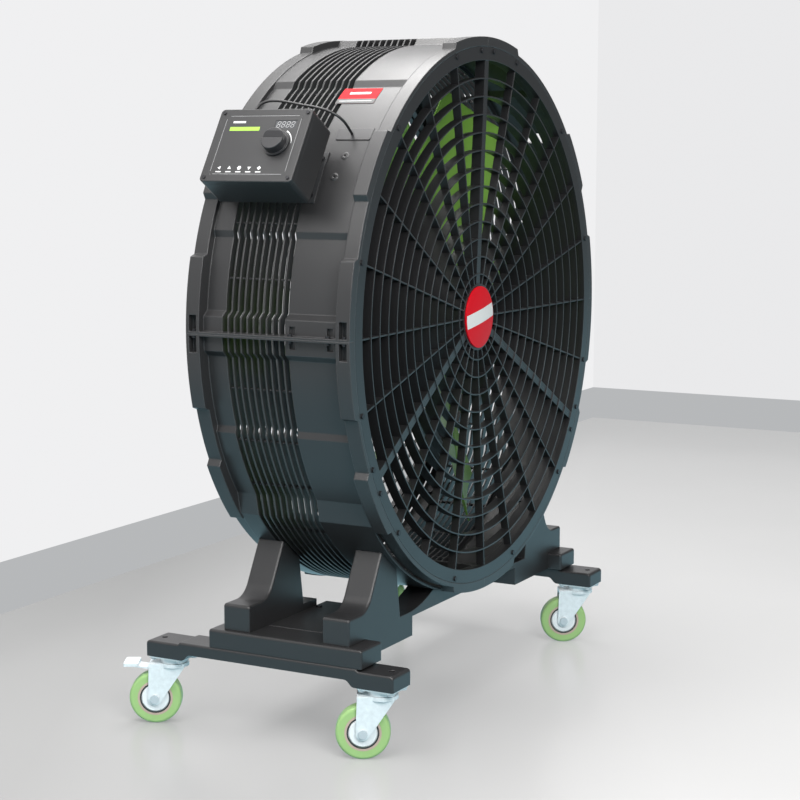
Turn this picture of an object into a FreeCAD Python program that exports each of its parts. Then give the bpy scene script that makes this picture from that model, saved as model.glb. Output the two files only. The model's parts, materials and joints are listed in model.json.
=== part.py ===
import FreeCAD, Part
import math
import os

Vec = FreeCAD.Vector
os.makedirs("parts", exist_ok=True)

# Stance: X across, Y from the grille to the back, Z up, origin on the floor midway between the casters
front_plane = -213.0
overrun = 5.0
matching_slack = 0.0001
parallel_slack = 0.001

# Drum: round opening, end rims with raised pads, stepped wall and vent ribs
opening_r = 500.0
grille_frame_width = 25.5
grille_seat_gap = 0.5
rim_lip = 8.0
rim_pad_rise = 11.0
rim_ledge = 3.0
rim_width = 28.0
seat_depth = 12.0
drum_depth = 340.0
shell_wall = 5.0
side_drop = 16.0
shoulder_rise = 7.0
crown_rise = 14.0
foot_rise = 25.0
boss_rise = 12.0
vent_start = 138.0
vent_back = 67.0
rib_count = 11
rib_width = 3.2
rib_depth = 16.0
tie_count = 7
tie_width = 3.0
tie_depth = 6.0
tie_inset = 3.0
quarter_deg = 90.0
upper_edges_deg = (4.0, 20.0, 58.0, 86.0, 90.0)
upper_bevels_deg = (1.2, 1.2, 1.6, 1.2, 0.0)
lower_edges_deg = (4.0, 20.0, 38.0, 90.0)
lower_bevels_deg = (1.2, 1.2, 4.2, 0.0)
rim_edges_deg = (15.0, 27.0, 42.0, 75.0, 90.0)
rim_bevels_deg = (0.8, 0.8, 0.8, 0.8, 0.0)

# Grip slot and screw bosses on each upper panel
grip_over = 20.5
grip_front = 42.0
grip_back = 114.0
grip_height = 28.0
grip_corner_r = 4.0
panel_boss_r = 7.0
panel_boss_rise = 1.5
panel_boss_hole_r = 2.0
panel_boss_front_y = 80.0
panel_boss_back_y = 88.0
panel_boss_places = ((37.2, panel_boss_front_y), (32.3, panel_boss_back_y))

# Flanges where the quarters are bolted together
flange_thick = 4.0
flange_bolt_inset = 7.0
flange_bolt_r = 3.0
flange_head_r = 5.0
flange_head_height = 4.0
pocket_inset = 6.0
pocket_width = 16.0
pocket_length = 30.0
pocket_depth = 14.0
notch_width = 12.0
notch_length = 16.0
notch_depth = 6.0
front_notch_y = 48.0
middle_notch_y = 125.0
keel_bolt_y = (66.0, 122.0, 290.0)
keel_bolt_depth = 23.0

# Grille sectors, used at the front and, turned round, at the back
sector_count = 3
sector_deg = 120.0
first_seam_deg = 90.0
spoke_step_deg = 15.0
ring_count = 12
outer_ring_gap = 34.5
inner_ring_r = 85.0
ring_bar = 2.6
ring_depth = 20.0
spoke_bar = 3.0
spoke_depth = 17.0
spoke_setback = 1.0
seam_bar = 8.0
seam_depth = 21.5
seam_setback = 1.5
hub_ring_in_r = 48.0
hub_ring_out_r = 66.0
hub_ring_depth = 23.0
guard_ring_count = 12
guard_ring_depth = 5.0
guard_spoke_depth = 9.0
guard_seam_depth = 12.0
guard_hub_depth = 14.0
hub_setback = 20.0
grille_screw_inset = 18.0
grille_screw_r = 2.5
grille_screw_head_r = 5.0
grille_screw_head = 2.5
grille_screw_length = 22.0
grille_screws_deg = (3.0, 15.0, 45.0, 75.0, 105.0, 117.0)
hub_cap_r = 61.0
hub_cap_rim = 3.0
hub_cap_dome = 4.0

# Motor and impeller
impeller_set = 88.0
hub_r = 118.0
hub_length = 124.0
hub_wall = 6.0
hub_face = 10.0
hub_chamfer = 12.0
shaft_r = 15.0
running_gap = 0.05
rotor_r = 98.0
rotor_wall = 8.0
rotor_length = 102.0
air_gap = 4.0
stator_length = 94.0
stator_neck_r = 48.0
stator_flange_r = 80.0
stator_flange = 8.0
shaft_end_gap = 10.0
mount_r = 110.0
mount_plate = 6.0
arm_count = 4
first_arm_deg = 45.0
arm_width = 32.0
arm_depth = 20.0
arm_set = 24.0
arm_lap = 6.0
arm_reach = 14.0
arm_root_r = 40.0
arm_wall = 5.0
mount_bolt_r = 3.0
mount_bolt_inset = 9.0
mount_bolt_bite = 12.0
mount_head_r = 5.5
mount_head = 4.0
stator_bolt_pcr = 64.0
stator_bolt_length = 12.0
blade_count = 6
blade_tip_r = 478.0
blade_root_r = 80.0
blade_edge = 2.4
blade_thick = 7.0
blade_camber_share = 0.07
blade_chord = 190.0
blade_span_shares = (0.0, 0.32, 0.66, 1.0)
blade_chord_shares = (0.80, 1.0, 1.02, 0.86)
blade_pitch_deg = (46.0, 36.0, 27.0, 21.0)

# Base: foot beams, stepped pedestals and two cradles
drum_clear = 52.0
foot_inset = 86.5
foot_width = 69.0
foot_length = 536.0
pad_thick = 30.5
pad_length = 84.0
foot_rise_top = 4.0
foot_arch = 12.5
foot_slope = 12.0
foot_end_r = 7.0
foot_edge_r = 4.0
foot_pocket_wall = 6.0
foot_pocket_depth = 14.0
foot_pocket_count = 3
foot_pocket_rib = 8.0
pad_hole_r = 6.0
pad_hole_depth = 22.0
pad_hole_inset = 20.0
tier_side_inset = 2.0
tier_width = 77.0
tier_height = 35.0
tier_front = 10.0
tier_back_inset = 1.0
tier_edge_r = 5.0
tray_thick = 12.0
tray_overhang = 38.0
cradle_thick = 57.0
front_cradle_set = 41.0
rear_cradle_inset = 29.0
cradle_edge_r = 4.0
block_side_inset = 12.0
block_height = 50.0
block_width = 68.0
block_corner_r = 6.0
leg_root_r = 45.0
leg_top_deg = 41.0
leg_inner_deg = 33.5
gusset_deg = 15.8
gusset_sag_share = 0.28
window_sill = 48.0
window_lean = 14.7
window_floor = 39.0
window_step = 11.0
cross_bar_lift = 38.0
ledge_width = 28.0
ledge_inset = 8.0
base_bolt_r = 5.0
base_bolt_head_r = 8.5
base_bolt_head = 6.0
base_bolt_grip = 34.0
saddle_bolt_shift = 8.0
saddle_bolt_r = 4.0
saddle_bolt_head_r = 7.0
saddle_bolt_head = 5.0
saddle_bite = 18.0
tray_screw_side = 11.0
tray_screw_inset = 12.0
tray_screw_r = 3.0
tray_screw_head_r = 6.0
tray_screw_head = 3.0
tray_screw_length = 26.0

# Casters
caster_end_inset = 40.0
caster_turn_deg = 28.0
wheel_r = 50.0
wheel_width = 32.0
tyre_in_r = 30.0
tyre_edge_r = 6.0
caster_trail = 35.0
core_width = 34.0
core_cap_r = 27.5
core_cap_dish = 3.0
core_boss_r = 11.0
core_web = 8.0
axle_r = 5.0
axle_head_r = 8.5
axle_head = 5.0
axle_boss_gap = 0.5
plate_length = 76.0
plate_width = 66.0
plate_thick = 3.0
plate_corner_r = 8.0
plate_bolt_x = 23.0
plate_bolt_y = 30.0
plate_bolt_r = 4.0
plate_bolt_head_r = 6.5
plate_bolt_head = 5.0
plate_bolt_bite = 15.0
race_r = 26.0
race_height = 10.5
race_gap = 0.5
fork_disc_r = 29.0
fork_disc = 7.0
king_pin_r = 6.0
king_nut_r = 10.0
king_nut = 5.0
fork_clear = 11.5
fork_gauge = 3.0
fork_inner = 19.5
fork_front = 22.0
fork_back = 46.0
fork_foot_r = 13.0
pedal_y = 26.0
pedal_drop = 26.5
pedal_pin_r = 3.0
pedal_hub_r = 5.0
pedal_half_width = 16.0
pedal_reach = 94.0
pedal_rise = 9.0
pedal_gauge = 3.0
pedal_tread = 28.0
pedal_tread_half = 24.0
pedal_tread_rise = 3.0

# Control box on the drum's left shoulder, square to the drum's radius
box_deg = 147.8
box_y = -20.0
box_reach = 107.0
box_width = 190.0
box_height = 149.0
case_depth = 60.0
lid_thick = 10.0
case_wall = 3.0
box_corner_r = 8.0
lid_edge_r = 2.0
post_r = 7.0
lid_screw_y = 86.0
lid_screw_up = 66.0
lid_screw_r = 1.6
lid_screw_head_r = 3.4
lid_screw_head = 2.0
lid_screw_length = 22.0
panel_width = 157.0
panel_height = 122.0
panel_thick = 1.5
panel_corner_r = 7.0
window_width = 44.0
window_height = 17.0
window_y = -48.0
window_up = 42.0
window_depth = 4.0
window_flange = 3.0
knob_y = -42.5
knob_up = 2.0
knob_skirt_r = 25.0
knob_skirt = 4.0
knob_r = 21.5
knob_height = 20.0
knob_edge_r = 1.5
knob_lift = 0.5
knob_notch_share = 0.62
knob_shaft_r = 3.0
knob_bush_gap = 1.0
knob_shaft_bite = 9.0
board_width = 150.0
board_height = 104.0
board_thick = 1.6
board_lift = 18.0
standoff_r = 4.0
standoff_inset = 12.0
pot_side = 24.0
pot_gap = 1.0
gland_y = 60.0
gland_set = 26.0
gland_r = 8.0
gland_nut = 7.0
gland_tip_r = 4.5
gland_tip = 8.0
bracket_gauge = 3.0
bracket_width = 176.0
bracket_height = 120.0
bracket_ear = 34.0
bracket_ear_cut = 20.0
web_y = 62.0
web_height = 104.0
bracket_foot = 18.0
bracket_screw_r = 2.5
bracket_screw_head_r = 4.5
bracket_screw_head = 2.5
bracket_screw_up = 38.0
bracket_screw_bite = 3.0

# Lead: shares of the gland's rise over the drum, and steps up and forward from the gland
lead_d = 5.0
grommet_rise = 1.5
lead_rise_shares = (1.0, 1.0, 0.984, 0.968, 0.937, 0.905, 0.873, 0.794, 0.603, 0.365, 0.127, -0.254)
lead_route = ((0.0, 0.0), (16.5, 1.0), (29.5, 12.0), (33.5, 34.0), (30.5, 62.0), (25.5, 91.0),
              (21.5, 122.0),
              (18.0, 144.0), (14.5, 160.0), (11.5, 167.0), (8.5, 169.0), (3.9, 170.0))

# Sizes that follow from those above
grille_outer_r = opening_r + grille_frame_width
lip_r = grille_outer_r + grille_seat_gap
rim_r = lip_r + rim_lip
pad_r = rim_r + rim_pad_rise
ledge_r = opening_r + rim_ledge
side_r = rim_r - side_drop
shoulder_r = side_r + shoulder_rise
crown_r = side_r + crown_rise
foot_r = side_r + foot_rise
flange_in_r = side_r - rib_depth
back_plane = front_plane + drum_depth
middle_plane = front_plane + drum_depth / 2
vent_end = drum_depth - vent_back
vent_pitch = (vent_end - vent_start) / (rib_count - 1)
caster_height = 2 * wheel_r + fork_clear + fork_disc + race_gap + race_height + plate_thick
caster_y = foot_length / 2 - caster_end_inset
pad_top_z = caster_height + pad_thick
foot_top_z = pad_top_z + foot_rise_top
axis_height = foot_top_z + drum_clear + foot_r
tier_top_z = foot_top_z + tier_height
block_top_z = tier_top_z + block_height
foot_centre_x = foot_r - foot_inset
foot_outer_x = foot_centre_x + foot_width / 2
tier_outer_x = foot_outer_x - tier_side_inset
tier_inner_x = tier_outer_x - tier_width
block_outer_x = foot_outer_x - block_side_inset
block_inner_x = block_outer_x - block_width
window_outer_x = foot_r * math.sin(math.radians(leg_inner_deg)) - window_lean
window_corner_x = window_outer_x - window_floor
cradle_inner_x = window_corner_x - window_step
tray_inner_x = cradle_inner_x - tray_overhang
box_front_r = shoulder_r + box_reach
grip_deg = 180 - box_deg + math.degrees(math.asin((box_height / 2 + grip_over) / shoulder_r))
fan_axis = Vec(0, 0, axis_height)
backward = Vec(0, 1, 0)
upward = Vec(0, 0, 1)
outward = Vec(1, 0, 0)


# Building helpers
def save(node, *solids):
    shape = solids[0] if len(solids) == 1 else Part.makeCompound(list(solids))
    shape.exportStep("parts/%s.step" % node)
    facts = (node, len(shape.Solids), shape.isValid(), shape.Volume / 1000)
    print("%-24s solids %2d valid %s volume %.1f cm3" % facts)


def at(radius, degrees, y):
    """A point round the fan's axis, from the right-hand side upwards."""
    angle = math.radians(degrees)
    return Vec(radius * math.cos(angle), y, axis_height + radius * math.sin(angle))


def turned(shape, degrees):
    copy = shape.copy()
    copy.rotate(fan_axis, Vec(0, -1, 0), degrees)
    return copy


def mirrored(shape):
    return shape.mirror(Vec(0, 0, 0), outward)


def block(x0, x1, y0, y1, z0, z1):
    return Part.makeBox(x1 - x0, y1 - y0, z1 - z0, Vec(x0, y0, z0))


def prism(points, along):
    return Part.Face(Part.makePolygon(list(points) + [points[0]])).extrude(along)


def round_box(x0, x1, y_half, z_half, radius):
    """A box whose four edges along X are rounded, centred on the fan's axis height."""
    solid = block(x0, x1, -y_half, y_half, axis_height - z_half, axis_height + z_half)
    return solid.makeFillet(radius, edges_along(solid, outward))


def edges_along(solid, direction):
    found = []
    for edge in solid.Edges:
        if edge.Curve.TypeId == "Part::GeomLine":
            if abs(abs(edge.tangentAt(edge.FirstParameter).dot(direction)) - 1) < parallel_slack:
                found.append(edge)
    return found


def edges_of_face(solid, normal):
    """The outer edges of the flat face that lies furthest along a direction."""
    flat = [f for f in solid.Faces if f.Surface.TypeId == "Part::GeomPlane"]
    level = [f for f in flat if abs(f.normalAt(0, 0).dot(normal)) > 1 - parallel_slack]
    top = max(level, key=lambda f: f.CenterOfMass.dot(normal))
    return top.OuterWire.Edges


def arc(radius, start, end, y):
    return Part.Arc(at(radius, start, y), at(radius, (start + end) / 2, y), at(radius, end, y)).toShape()


def rounded_line(points, radii):
    """The edges of a line through points, with each inner corner rounded to its own radius."""
    edges = []
    start = points[0]
    for before, corner, after, radius in zip(points, points[1:], points[2:], radii):
        back = (before - corner).normalize()
        ahead = (after - corner).normalize()
        half = back.getAngle(ahead) / 2
        first = corner + back * (radius / math.tan(half))
        last = corner + ahead * (radius / math.tan(half))
        middle = corner + (back + ahead).normalize() * (radius / math.sin(half) - radius)
        edges.append(Part.makeLine(start, first))
        if radius > 0:
            edges.append(Part.Arc(first, middle, last).toShape())
        start = last
    edges.append(Part.makeLine(start, points[-1]))
    return edges


def filled(edges, along):
    return Part.Face(Part.Wire(Part.__sortEdges__(edges))).extrude(along)


def matching_edges(solid, edges, shift):
    """The edges of a solid that lie on the given edges or on those edges moved by a shift."""
    middles = [edge.CenterOfMass for edge in edges]
    middles += [middle + shift for middle in middles]
    return [edge for edge in solid.Edges
            if min(edge.CenterOfMass.distanceToPoint(middle) for middle in middles) < matching_slack]


def fuse(solids):
    return solids[0].multiFuse(solids[1:]).removeSplitter()


# Stepped wall of the drum: zones of steady radius joined by short bevels
def zones_from(edges_deg, bevels_deg, radii):
    zones = []
    start = 0.0
    for edge, bevel, radius in zip(edges_deg, bevels_deg, radii):
        zones.append((start, edge - bevel / 2, radius))
        start = edge + bevel / 2
    return zones


def thinned(zones, depth):
    return [(first, last, radius - depth) for first, last, radius in zones]


def zone_radius(zones, degrees):
    return min(zones, key=lambda zone: max(zone[0] - degrees, degrees - zone[1]))[2]


def zone_edges(zones, y, side):
    edges = []
    for index, (first, last, radius) in enumerate(zones):
        if index:
            before = zones[index - 1]
            edges.append(Part.makeLine(at(before[2], side * before[1], y), at(radius, side * first, y)))
        edges.append(arc(radius, side * first, side * last, y))
    return edges


def band(outer, inner, y0, y1, side):
    edges = zone_edges(outer, y0, side) + zone_edges(inner, y0, side)
    for end in (0.0, quarter_deg):
        edges.append(Part.makeLine(at(zone_radius(outer, end), side * end, y0),
                                   at(zone_radius(inner, end), side * end, y0)))
    wire = Part.Wire(Part.__sortEdges__(edges))
    return Part.Face(wire).extrude(Vec(0, y1 - y0, 0))


def flange_box(r0, r1, y0, y1, near, far, side, corner_deg):
    """A box beside a split line, from near to far off its plane, on the quarter's own side of it."""
    towards = side if corner_deg == 0 else -side
    low, high = sorted((towards * near, towards * far))
    solid = block(r0, r1, y0, y1, axis_height + low, axis_height + high)
    return turned(solid, side * corner_deg)


def flange_bolt_tool(radius, start, length, bolt_r, y, corner_deg):
    """A round tool square to a split line."""
    base = Vec(radius, y, axis_height + start)
    return turned(Part.makeCylinder(bolt_r, length, base, upward), corner_deg)


def flange_bolt_places(corner_deg):
    """Radius and y of each bolt on one split line."""
    if corner_deg == -quarter_deg:
        return [(foot_r - keel_bolt_depth, front_plane + y) for y in keel_bolt_y]
    radius = pad_r - flange_bolt_inset
    rim_bolt = pocket_inset + pocket_width / 2
    rows = (rim_bolt, front_notch_y, middle_notch_y, drum_depth - rim_bolt)
    return [(radius, front_plane + y) for y in rows]


def drum_quarter(zones, skin, side):
    rim_radii = [(pad_r, rim_r)[index % 2] for index in range(len(rim_edges_deg))]
    rim = zones_from(rim_edges_deg, rim_bevels_deg, rim_radii)
    lip = [(0.0, quarter_deg, lip_r)]
    ledge = [(0.0, quarter_deg, ledge_r)]
    rib_root = thinned(zones, rib_depth)
    half_rib = rib_width / 2
    first_rib = front_plane + vent_start
    last_rib = front_plane + vent_end
    solids = [band(rim, lip, front_plane, front_plane + seat_depth, side),
              band(rim, ledge, front_plane + seat_depth, front_plane + rim_width, side),
              band(rim, ledge, back_plane - rim_width, back_plane - seat_depth, side),
              band(rim, lip, back_plane - seat_depth, back_plane, side),
              band(zones, skin, front_plane + rim_width, first_rib + half_rib, side),
              band(zones, skin, last_rib - half_rib, back_plane - rim_width, side)]
    for index in range(rib_count):
        y = first_rib + index * vent_pitch
        solids.append(band(zones, rib_root, y - half_rib, y + half_rib, side))
    for index in range(tie_count):
        degrees = (index + 1) * quarter_deg / (tie_count + 1)
        root = zone_radius(zones, degrees) - rib_depth + tie_inset
        half = tie_width / 2
        tie = block(root, root + tie_depth, first_rib, last_rib, axis_height - half, axis_height + half)
        solids.append(turned(tie, side * degrees))
    for corner_deg, top_r in ((0.0, pad_r), (quarter_deg, max(pad_r, crown_r) if side > 0 else foot_r)):
        solids.append(flange_box(flange_in_r, top_r, front_plane + seat_depth, back_plane - seat_depth,
                                 0, flange_thick, side, corner_deg))
    return fuse(solids).cut(quarter_cuts(side))


def quarter_cuts(side):
    """Bolt pockets in the rims, notches in the flange bosses and all screw holes of one quarter."""
    cuts = []
    corners = (0.0, quarter_deg) if side > 0 else (0.0,)
    rim_pocket = pocket_inset + pocket_width
    notch_out = pad_r + overrun
    for corner_deg in corners:
        for y in (front_plane + pocket_inset, back_plane - rim_pocket):
            cuts.append(flange_box(pad_r - pocket_depth, notch_out, y, y + pocket_width,
                                   flange_thick, flange_thick + pocket_length, side, corner_deg))
        base = side_r if corner_deg == 0 else crown_r
        floor_r = min(base + boss_rise - notch_depth, pad_r - pocket_depth)
        for y in (front_plane + front_notch_y, front_plane + middle_notch_y):
            cuts.append(flange_box(floor_r, notch_out, y - notch_width / 2, y + notch_width / 2,
                                   flange_thick, flange_thick + notch_length, side, corner_deg))
    for corner_deg in (0.0, side * quarter_deg):
        for radius, y in flange_bolt_places(corner_deg):
            cuts.append(flange_bolt_tool(radius, -flange_thick - overrun, 2 * (flange_thick + overrun),
                                         flange_bolt_r, y, corner_deg))
    cuts += [screw_shank(degrees, False) for degrees in grille_screw_angles()]
    cuts += [screw_shank(degrees, True) for degrees in grille_screw_angles()]
    cuts += [mount_bolt_shank(index) for index in range(arm_count)]
    cuts += [saddle_bolt(degrees, y)[1] for degrees, y in saddle_bolt_places()]
    return cuts


def grip_slot():
    """A slot through the upper panel's shoulder, to lift the drum by."""
    half = grip_height / 2
    tool = block(shoulder_r - 2 * shell_wall, shoulder_r + overrun, front_plane + grip_front,
                 front_plane + grip_back,
                 axis_height - half, axis_height + half)
    tool = tool.makeFillet(grip_corner_r, edges_along(tool, outward))
    return turned(tool, grip_deg)


def with_panel_bosses(quarter):
    """Two low screw bosses on the upper panel's shoulder."""
    bosses = []
    holes = []
    for degrees, y in panel_boss_places:
        low = Vec(shoulder_r - shell_wall / 2, front_plane + y, axis_height)
        boss = Part.makeCylinder(panel_boss_r, shell_wall / 2 + panel_boss_rise, low, outward)
        hole = Part.makeCylinder(panel_boss_hole_r, shell_wall, low, outward)
        bosses.append(turned(boss, degrees))
        holes.append(turned(hole, degrees))
    return quarter.multiFuse(bosses).cut(holes)


def make_drum():
    upper_radii = (side_r, side_r, shoulder_r, crown_r, crown_r)
    upper_outer = (side_r + boss_rise, side_r, shoulder_r, crown_r, crown_r + boss_rise)
    lower_radii = (side_r, side_r, shoulder_r, foot_r)
    lower_outer = (side_r + boss_rise, side_r, shoulder_r, foot_r)
    upper_skin = thinned(zones_from(upper_edges_deg, upper_bevels_deg, upper_radii), shell_wall)
    lower_skin = thinned(zones_from(lower_edges_deg, lower_bevels_deg, lower_radii), shell_wall)
    upper = drum_quarter(zones_from(upper_edges_deg, upper_bevels_deg, upper_outer), upper_skin, 1)
    lower = drum_quarter(zones_from(lower_edges_deg, lower_bevels_deg, lower_outer), lower_skin, -1)
    upper = with_panel_bosses(upper).cut(grip_slot())
    upper_left = mirrored(upper).cut(bracket_screw_shanks())
    save("drum_upper_right", upper)
    save("drum_upper_left", upper_left)
    save("drum_lower_right", lower)
    save("drum_lower_left", mirrored(lower))


def flange_bolt(radius, y, corner_deg):
    reach = flange_thick + flange_head_height
    shank = flange_bolt_tool(radius, -flange_thick, 2 * flange_thick, flange_bolt_r, y, corner_deg)
    head = flange_bolt_tool(radius, flange_thick, flange_head_height, flange_head_r, y, corner_deg)
    nut = flange_bolt_tool(radius, -reach, flange_head_height, flange_head_r, y, corner_deg)
    return shank.multiFuse([head, nut])


def make_flange_bolts():
    bolts = []
    for corner_deg in (0.0, quarter_deg, 2 * quarter_deg, -quarter_deg):
        for radius, y in flange_bolt_places(corner_deg):
            bolts.append(flange_bolt(radius, y, corner_deg))
    save("flange_bolts", *bolts)


# Grille sector: a frame arc, a dished fan of spokes and twelve deep rings
def dish(radius):
    return front_plane + hub_setback * (1 - radius / opening_r)


def revolved(r0, r1, y0, y1, degrees):
    points = [Vec(r, y, axis_height) for r, y in ((r0, y0), (r1, y0), (r1, y1), (r0, y1))]
    face = Part.Face(Part.makePolygon(points + [points[0]]))
    return face.revolve(fan_axis, Vec(0, -1, 0), degrees)


def spoke(z0, z1, setback, depth):
    inner = (hub_ring_in_r + hub_ring_out_r) / 2
    outer = opening_r + grille_frame_width / 2
    points = [Vec(inner, dish(inner) + setback, axis_height + z0),
              Vec(outer, dish(opening_r) + setback, axis_height + z0),
              Vec(outer, front_plane + seat_depth, axis_height + z0),
              Vec(opening_r, front_plane + seat_depth, axis_height + z0),
              Vec(opening_r, dish(opening_r) + setback + depth, axis_height + z0),
              Vec(inner, dish(inner) + setback + depth, axis_height + z0)]
    return prism(points, Vec(0, 0, z1 - z0))


def grille_sector(rings, ring_reach, spoke_reach, seam_reach, hub_reach):
    """One third of a grille: its frame and hub ring, and bars as deep as the reaches say."""
    solids = [revolved(opening_r, grille_outer_r, front_plane, front_plane + seat_depth, sector_deg)]
    hub_y = dish(hub_ring_out_r)
    solids.append(revolved(hub_ring_in_r, hub_ring_out_r, hub_y, hub_y + hub_reach, sector_deg))
    ring_pitch = (opening_r - outer_ring_gap - inner_ring_r) / (rings - 1)
    half = ring_bar / 2
    for index in range(rings):
        radius = inner_ring_r + index * ring_pitch
        ring_y = dish(radius)
        solids.append(revolved(radius - half, radius + half, ring_y, ring_y + ring_reach, sector_deg))
    steps = round(sector_deg / spoke_step_deg)
    for index in range(1, steps):
        bar = spoke(-spoke_bar / 2, spoke_bar / 2, spoke_setback, spoke_reach)
        solids.append(turned(bar, index * spoke_step_deg))
    solids.append(spoke(0, seam_bar, seam_setback, seam_reach))
    solids.append(turned(spoke(-seam_bar, 0, seam_setback, seam_reach), sector_deg))
    holes = [turned(screw_shank(degrees, False), -first_seam_deg) for degrees in grille_screw_angles()]
    return fuse(solids).cut(holes)


def reversed_in_drum(shape):
    return shape.mirror(Vec(0, middle_plane, 0), backward)


def grille_screw_angles():
    seams = [first_seam_deg + index * sector_deg for index in range(sector_count)]
    return [seam + offset for seam in seams for offset in grille_screws_deg]


def screw_shank(degrees, at_back):
    place = at(opening_r + grille_screw_inset, degrees, front_plane)
    shank = Part.makeCylinder(grille_screw_r, grille_screw_length, place, backward)
    return reversed_in_drum(shank) if at_back else shank


def grille_screw(degrees, at_back):
    place = at(opening_r + grille_screw_inset, degrees, front_plane - grille_screw_head)
    head = Part.makeCylinder(grille_screw_head_r, grille_screw_head, place, backward)
    head = reversed_in_drum(head) if at_back else head
    return screw_shank(degrees, at_back).fuse(head)


def hub_cap():
    seat = dish(hub_ring_out_r)
    edge = seat - hub_cap_rim
    crown = edge - hub_cap_dome
    ball_r = (hub_cap_r ** 2 + hub_cap_dome ** 2) / (2 * hub_cap_dome)
    middle = hub_cap_r / 2
    middle_y = crown + ball_r - math.sqrt(ball_r ** 2 - middle ** 2)
    dome = Part.Arc(Vec(hub_cap_r, edge, axis_height), Vec(middle, middle_y, axis_height),
                    Vec(0, crown, axis_height)).toShape()
    lines = [Part.makeLine(Vec(0, crown, axis_height), Vec(0, seat, axis_height)),
             Part.makeLine(Vec(0, seat, axis_height), Vec(hub_cap_r, seat, axis_height)),
             Part.makeLine(Vec(hub_cap_r, seat, axis_height), Vec(hub_cap_r, edge, axis_height))]
    face = Part.Face(Part.Wire(Part.__sortEdges__([dome] + lines)))
    return face.revolve(fan_axis, backward, 360)


def make_grilles():
    sector = grille_sector(ring_count, ring_depth, spoke_depth, seam_depth, hub_ring_depth)
    guard = grille_sector(guard_ring_count, guard_ring_depth, guard_spoke_depth, guard_seam_depth,
                          guard_hub_depth)
    places = [first_seam_deg + index * sector_deg for index in range(sector_count)]
    names = ("front_grille_left", "front_grille_bottom", "front_grille_right")
    for name, degrees in zip(names, places):
        save(name, turned(sector, degrees))
    save("rear_guard", *[reversed_in_drum(turned(guard, degrees)) for degrees in places])
    save("grille_screws", *[grille_screw(degrees, at_back) for at_back in (False, True)
                            for degrees in grille_screw_angles()])
    save("hub_cap", hub_cap())


# Motor, its mount and the impeller
hub_front = front_plane + impeller_set
rotor_front = hub_front + hub_face
stator_front = rotor_front + rotor_wall + air_gap
mount_front = back_plane - rim_width - arm_set - arm_depth - mount_plate
arm_front = mount_front + mount_plate
arm_back = arm_front + arm_depth
arm_foot_front = arm_back - arm_lap
blade_plane = hub_front + hub_length / 2


def along_axis(radius, y0, y1):
    return Part.makeCylinder(radius, y1 - y0, Vec(0, y0, axis_height), backward)


def spun(profile):
    points = [Vec(r, y, axis_height) for r, y in profile]
    return Part.Face(Part.makePolygon(points + [points[0]])).revolve(fan_axis, backward, 360)


def impeller_hub():
    back = hub_front + hub_length
    inner = hub_r - hub_wall
    return spun(((shaft_r, hub_front), (hub_r - hub_chamfer, hub_front), (hub_r, hub_front + hub_chamfer),
                 (hub_r, back), (inner, back), (inner, hub_front + hub_chamfer + hub_wall),
                 (hub_r - hub_chamfer - hub_wall / 2, rotor_front), (shaft_r, rotor_front)))


def blade_wire(share, chord_share, pitch):
    radius = blade_root_r + share * (blade_tip_r - blade_root_r)
    half = blade_chord * chord_share / 2
    bow = blade_chord * chord_share * blade_camber_share
    angle = math.radians(pitch)
    run = Vec(0, math.sin(angle), math.cos(angle))
    lift = Vec(0, math.cos(angle), -math.sin(angle))
    middle = Vec(radius, blade_plane, axis_height)
    corners = []
    for along, off in ((-half, -blade_edge / 2), (half, -blade_edge / 2), (half, blade_edge / 2),
                       (-half, blade_edge / 2)):
        corners.append(middle + run * along + lift * off)
    low = Part.Arc(corners[0], middle + lift * (bow - blade_thick / 2), corners[1]).toShape()
    high = Part.Arc(corners[2], middle + lift * (bow + blade_thick / 2), corners[3]).toShape()
    return Part.Wire([low, Part.makeLine(corners[1], corners[2]), high,
                      Part.makeLine(corners[3], corners[0])])


def make_impeller():
    wires = [blade_wire(*row) for row in zip(blade_span_shares, blade_chord_shares, blade_pitch_deg)]
    blade = Part.makeLoft(wires, True, False)
    blade = blade.cut(along_axis(hub_r, front_plane, back_plane))
    save("impeller_blades", *[turned(blade, index * 360 / blade_count) for index in range(blade_count)])
    save("impeller_hub", impeller_hub())
    rotor_back = rotor_front + rotor_length
    skirt = rotor_r - rotor_wall
    save("motor_rotor", spun(((shaft_r, rotor_front), (rotor_r, rotor_front), (rotor_r, rotor_back),
                              (skirt, rotor_back), (skirt, rotor_front + rotor_wall),
                              (shaft_r, rotor_front + rotor_wall))))
    save("motor_shaft", along_axis(shaft_r, hub_front, mount_front - shaft_end_gap))


def stator():
    bore = shaft_r + running_gap
    body_r = rotor_r - rotor_wall - air_gap
    body_back = stator_front + stator_length
    flange_front = mount_front - stator_flange
    solid = spun(((bore, stator_front), (body_r, stator_front), (body_r, body_back),
                  (stator_neck_r, body_back),
                  (stator_neck_r, flange_front), (stator_flange_r, flange_front),
                  (stator_flange_r, mount_front), (bore, mount_front)))
    return solid.cut([stator_bolt(index)[1] for index in range(arm_count)])


def motor_mount():
    solids = [along_axis(mount_r, mount_front, arm_front)]
    reach = ledge_r + arm_reach
    half = arm_width / 2
    for index in range(arm_count):
        arm = block(arm_root_r, opening_r, arm_front, arm_back, axis_height - half, axis_height + half)
        hollow = block(mount_r, ledge_r - arm_reach, arm_front + arm_wall, arm_back,
                       axis_height - half + arm_wall, axis_height + half - arm_wall)
        foot = block(ledge_r - arm_reach, reach, arm_foot_front, arm_back + arm_set,
                     axis_height - half, axis_height + half)
        solids.append(turned(arm.cut(hollow).fuse(foot), first_arm_deg + index * 360 / arm_count))
    holes = [mount_bolt_shank(index) for index in range(arm_count)]
    holes += [stator_bolt(index)[1] for index in range(arm_count)]
    return fuse(solids).cut(holes)


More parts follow.
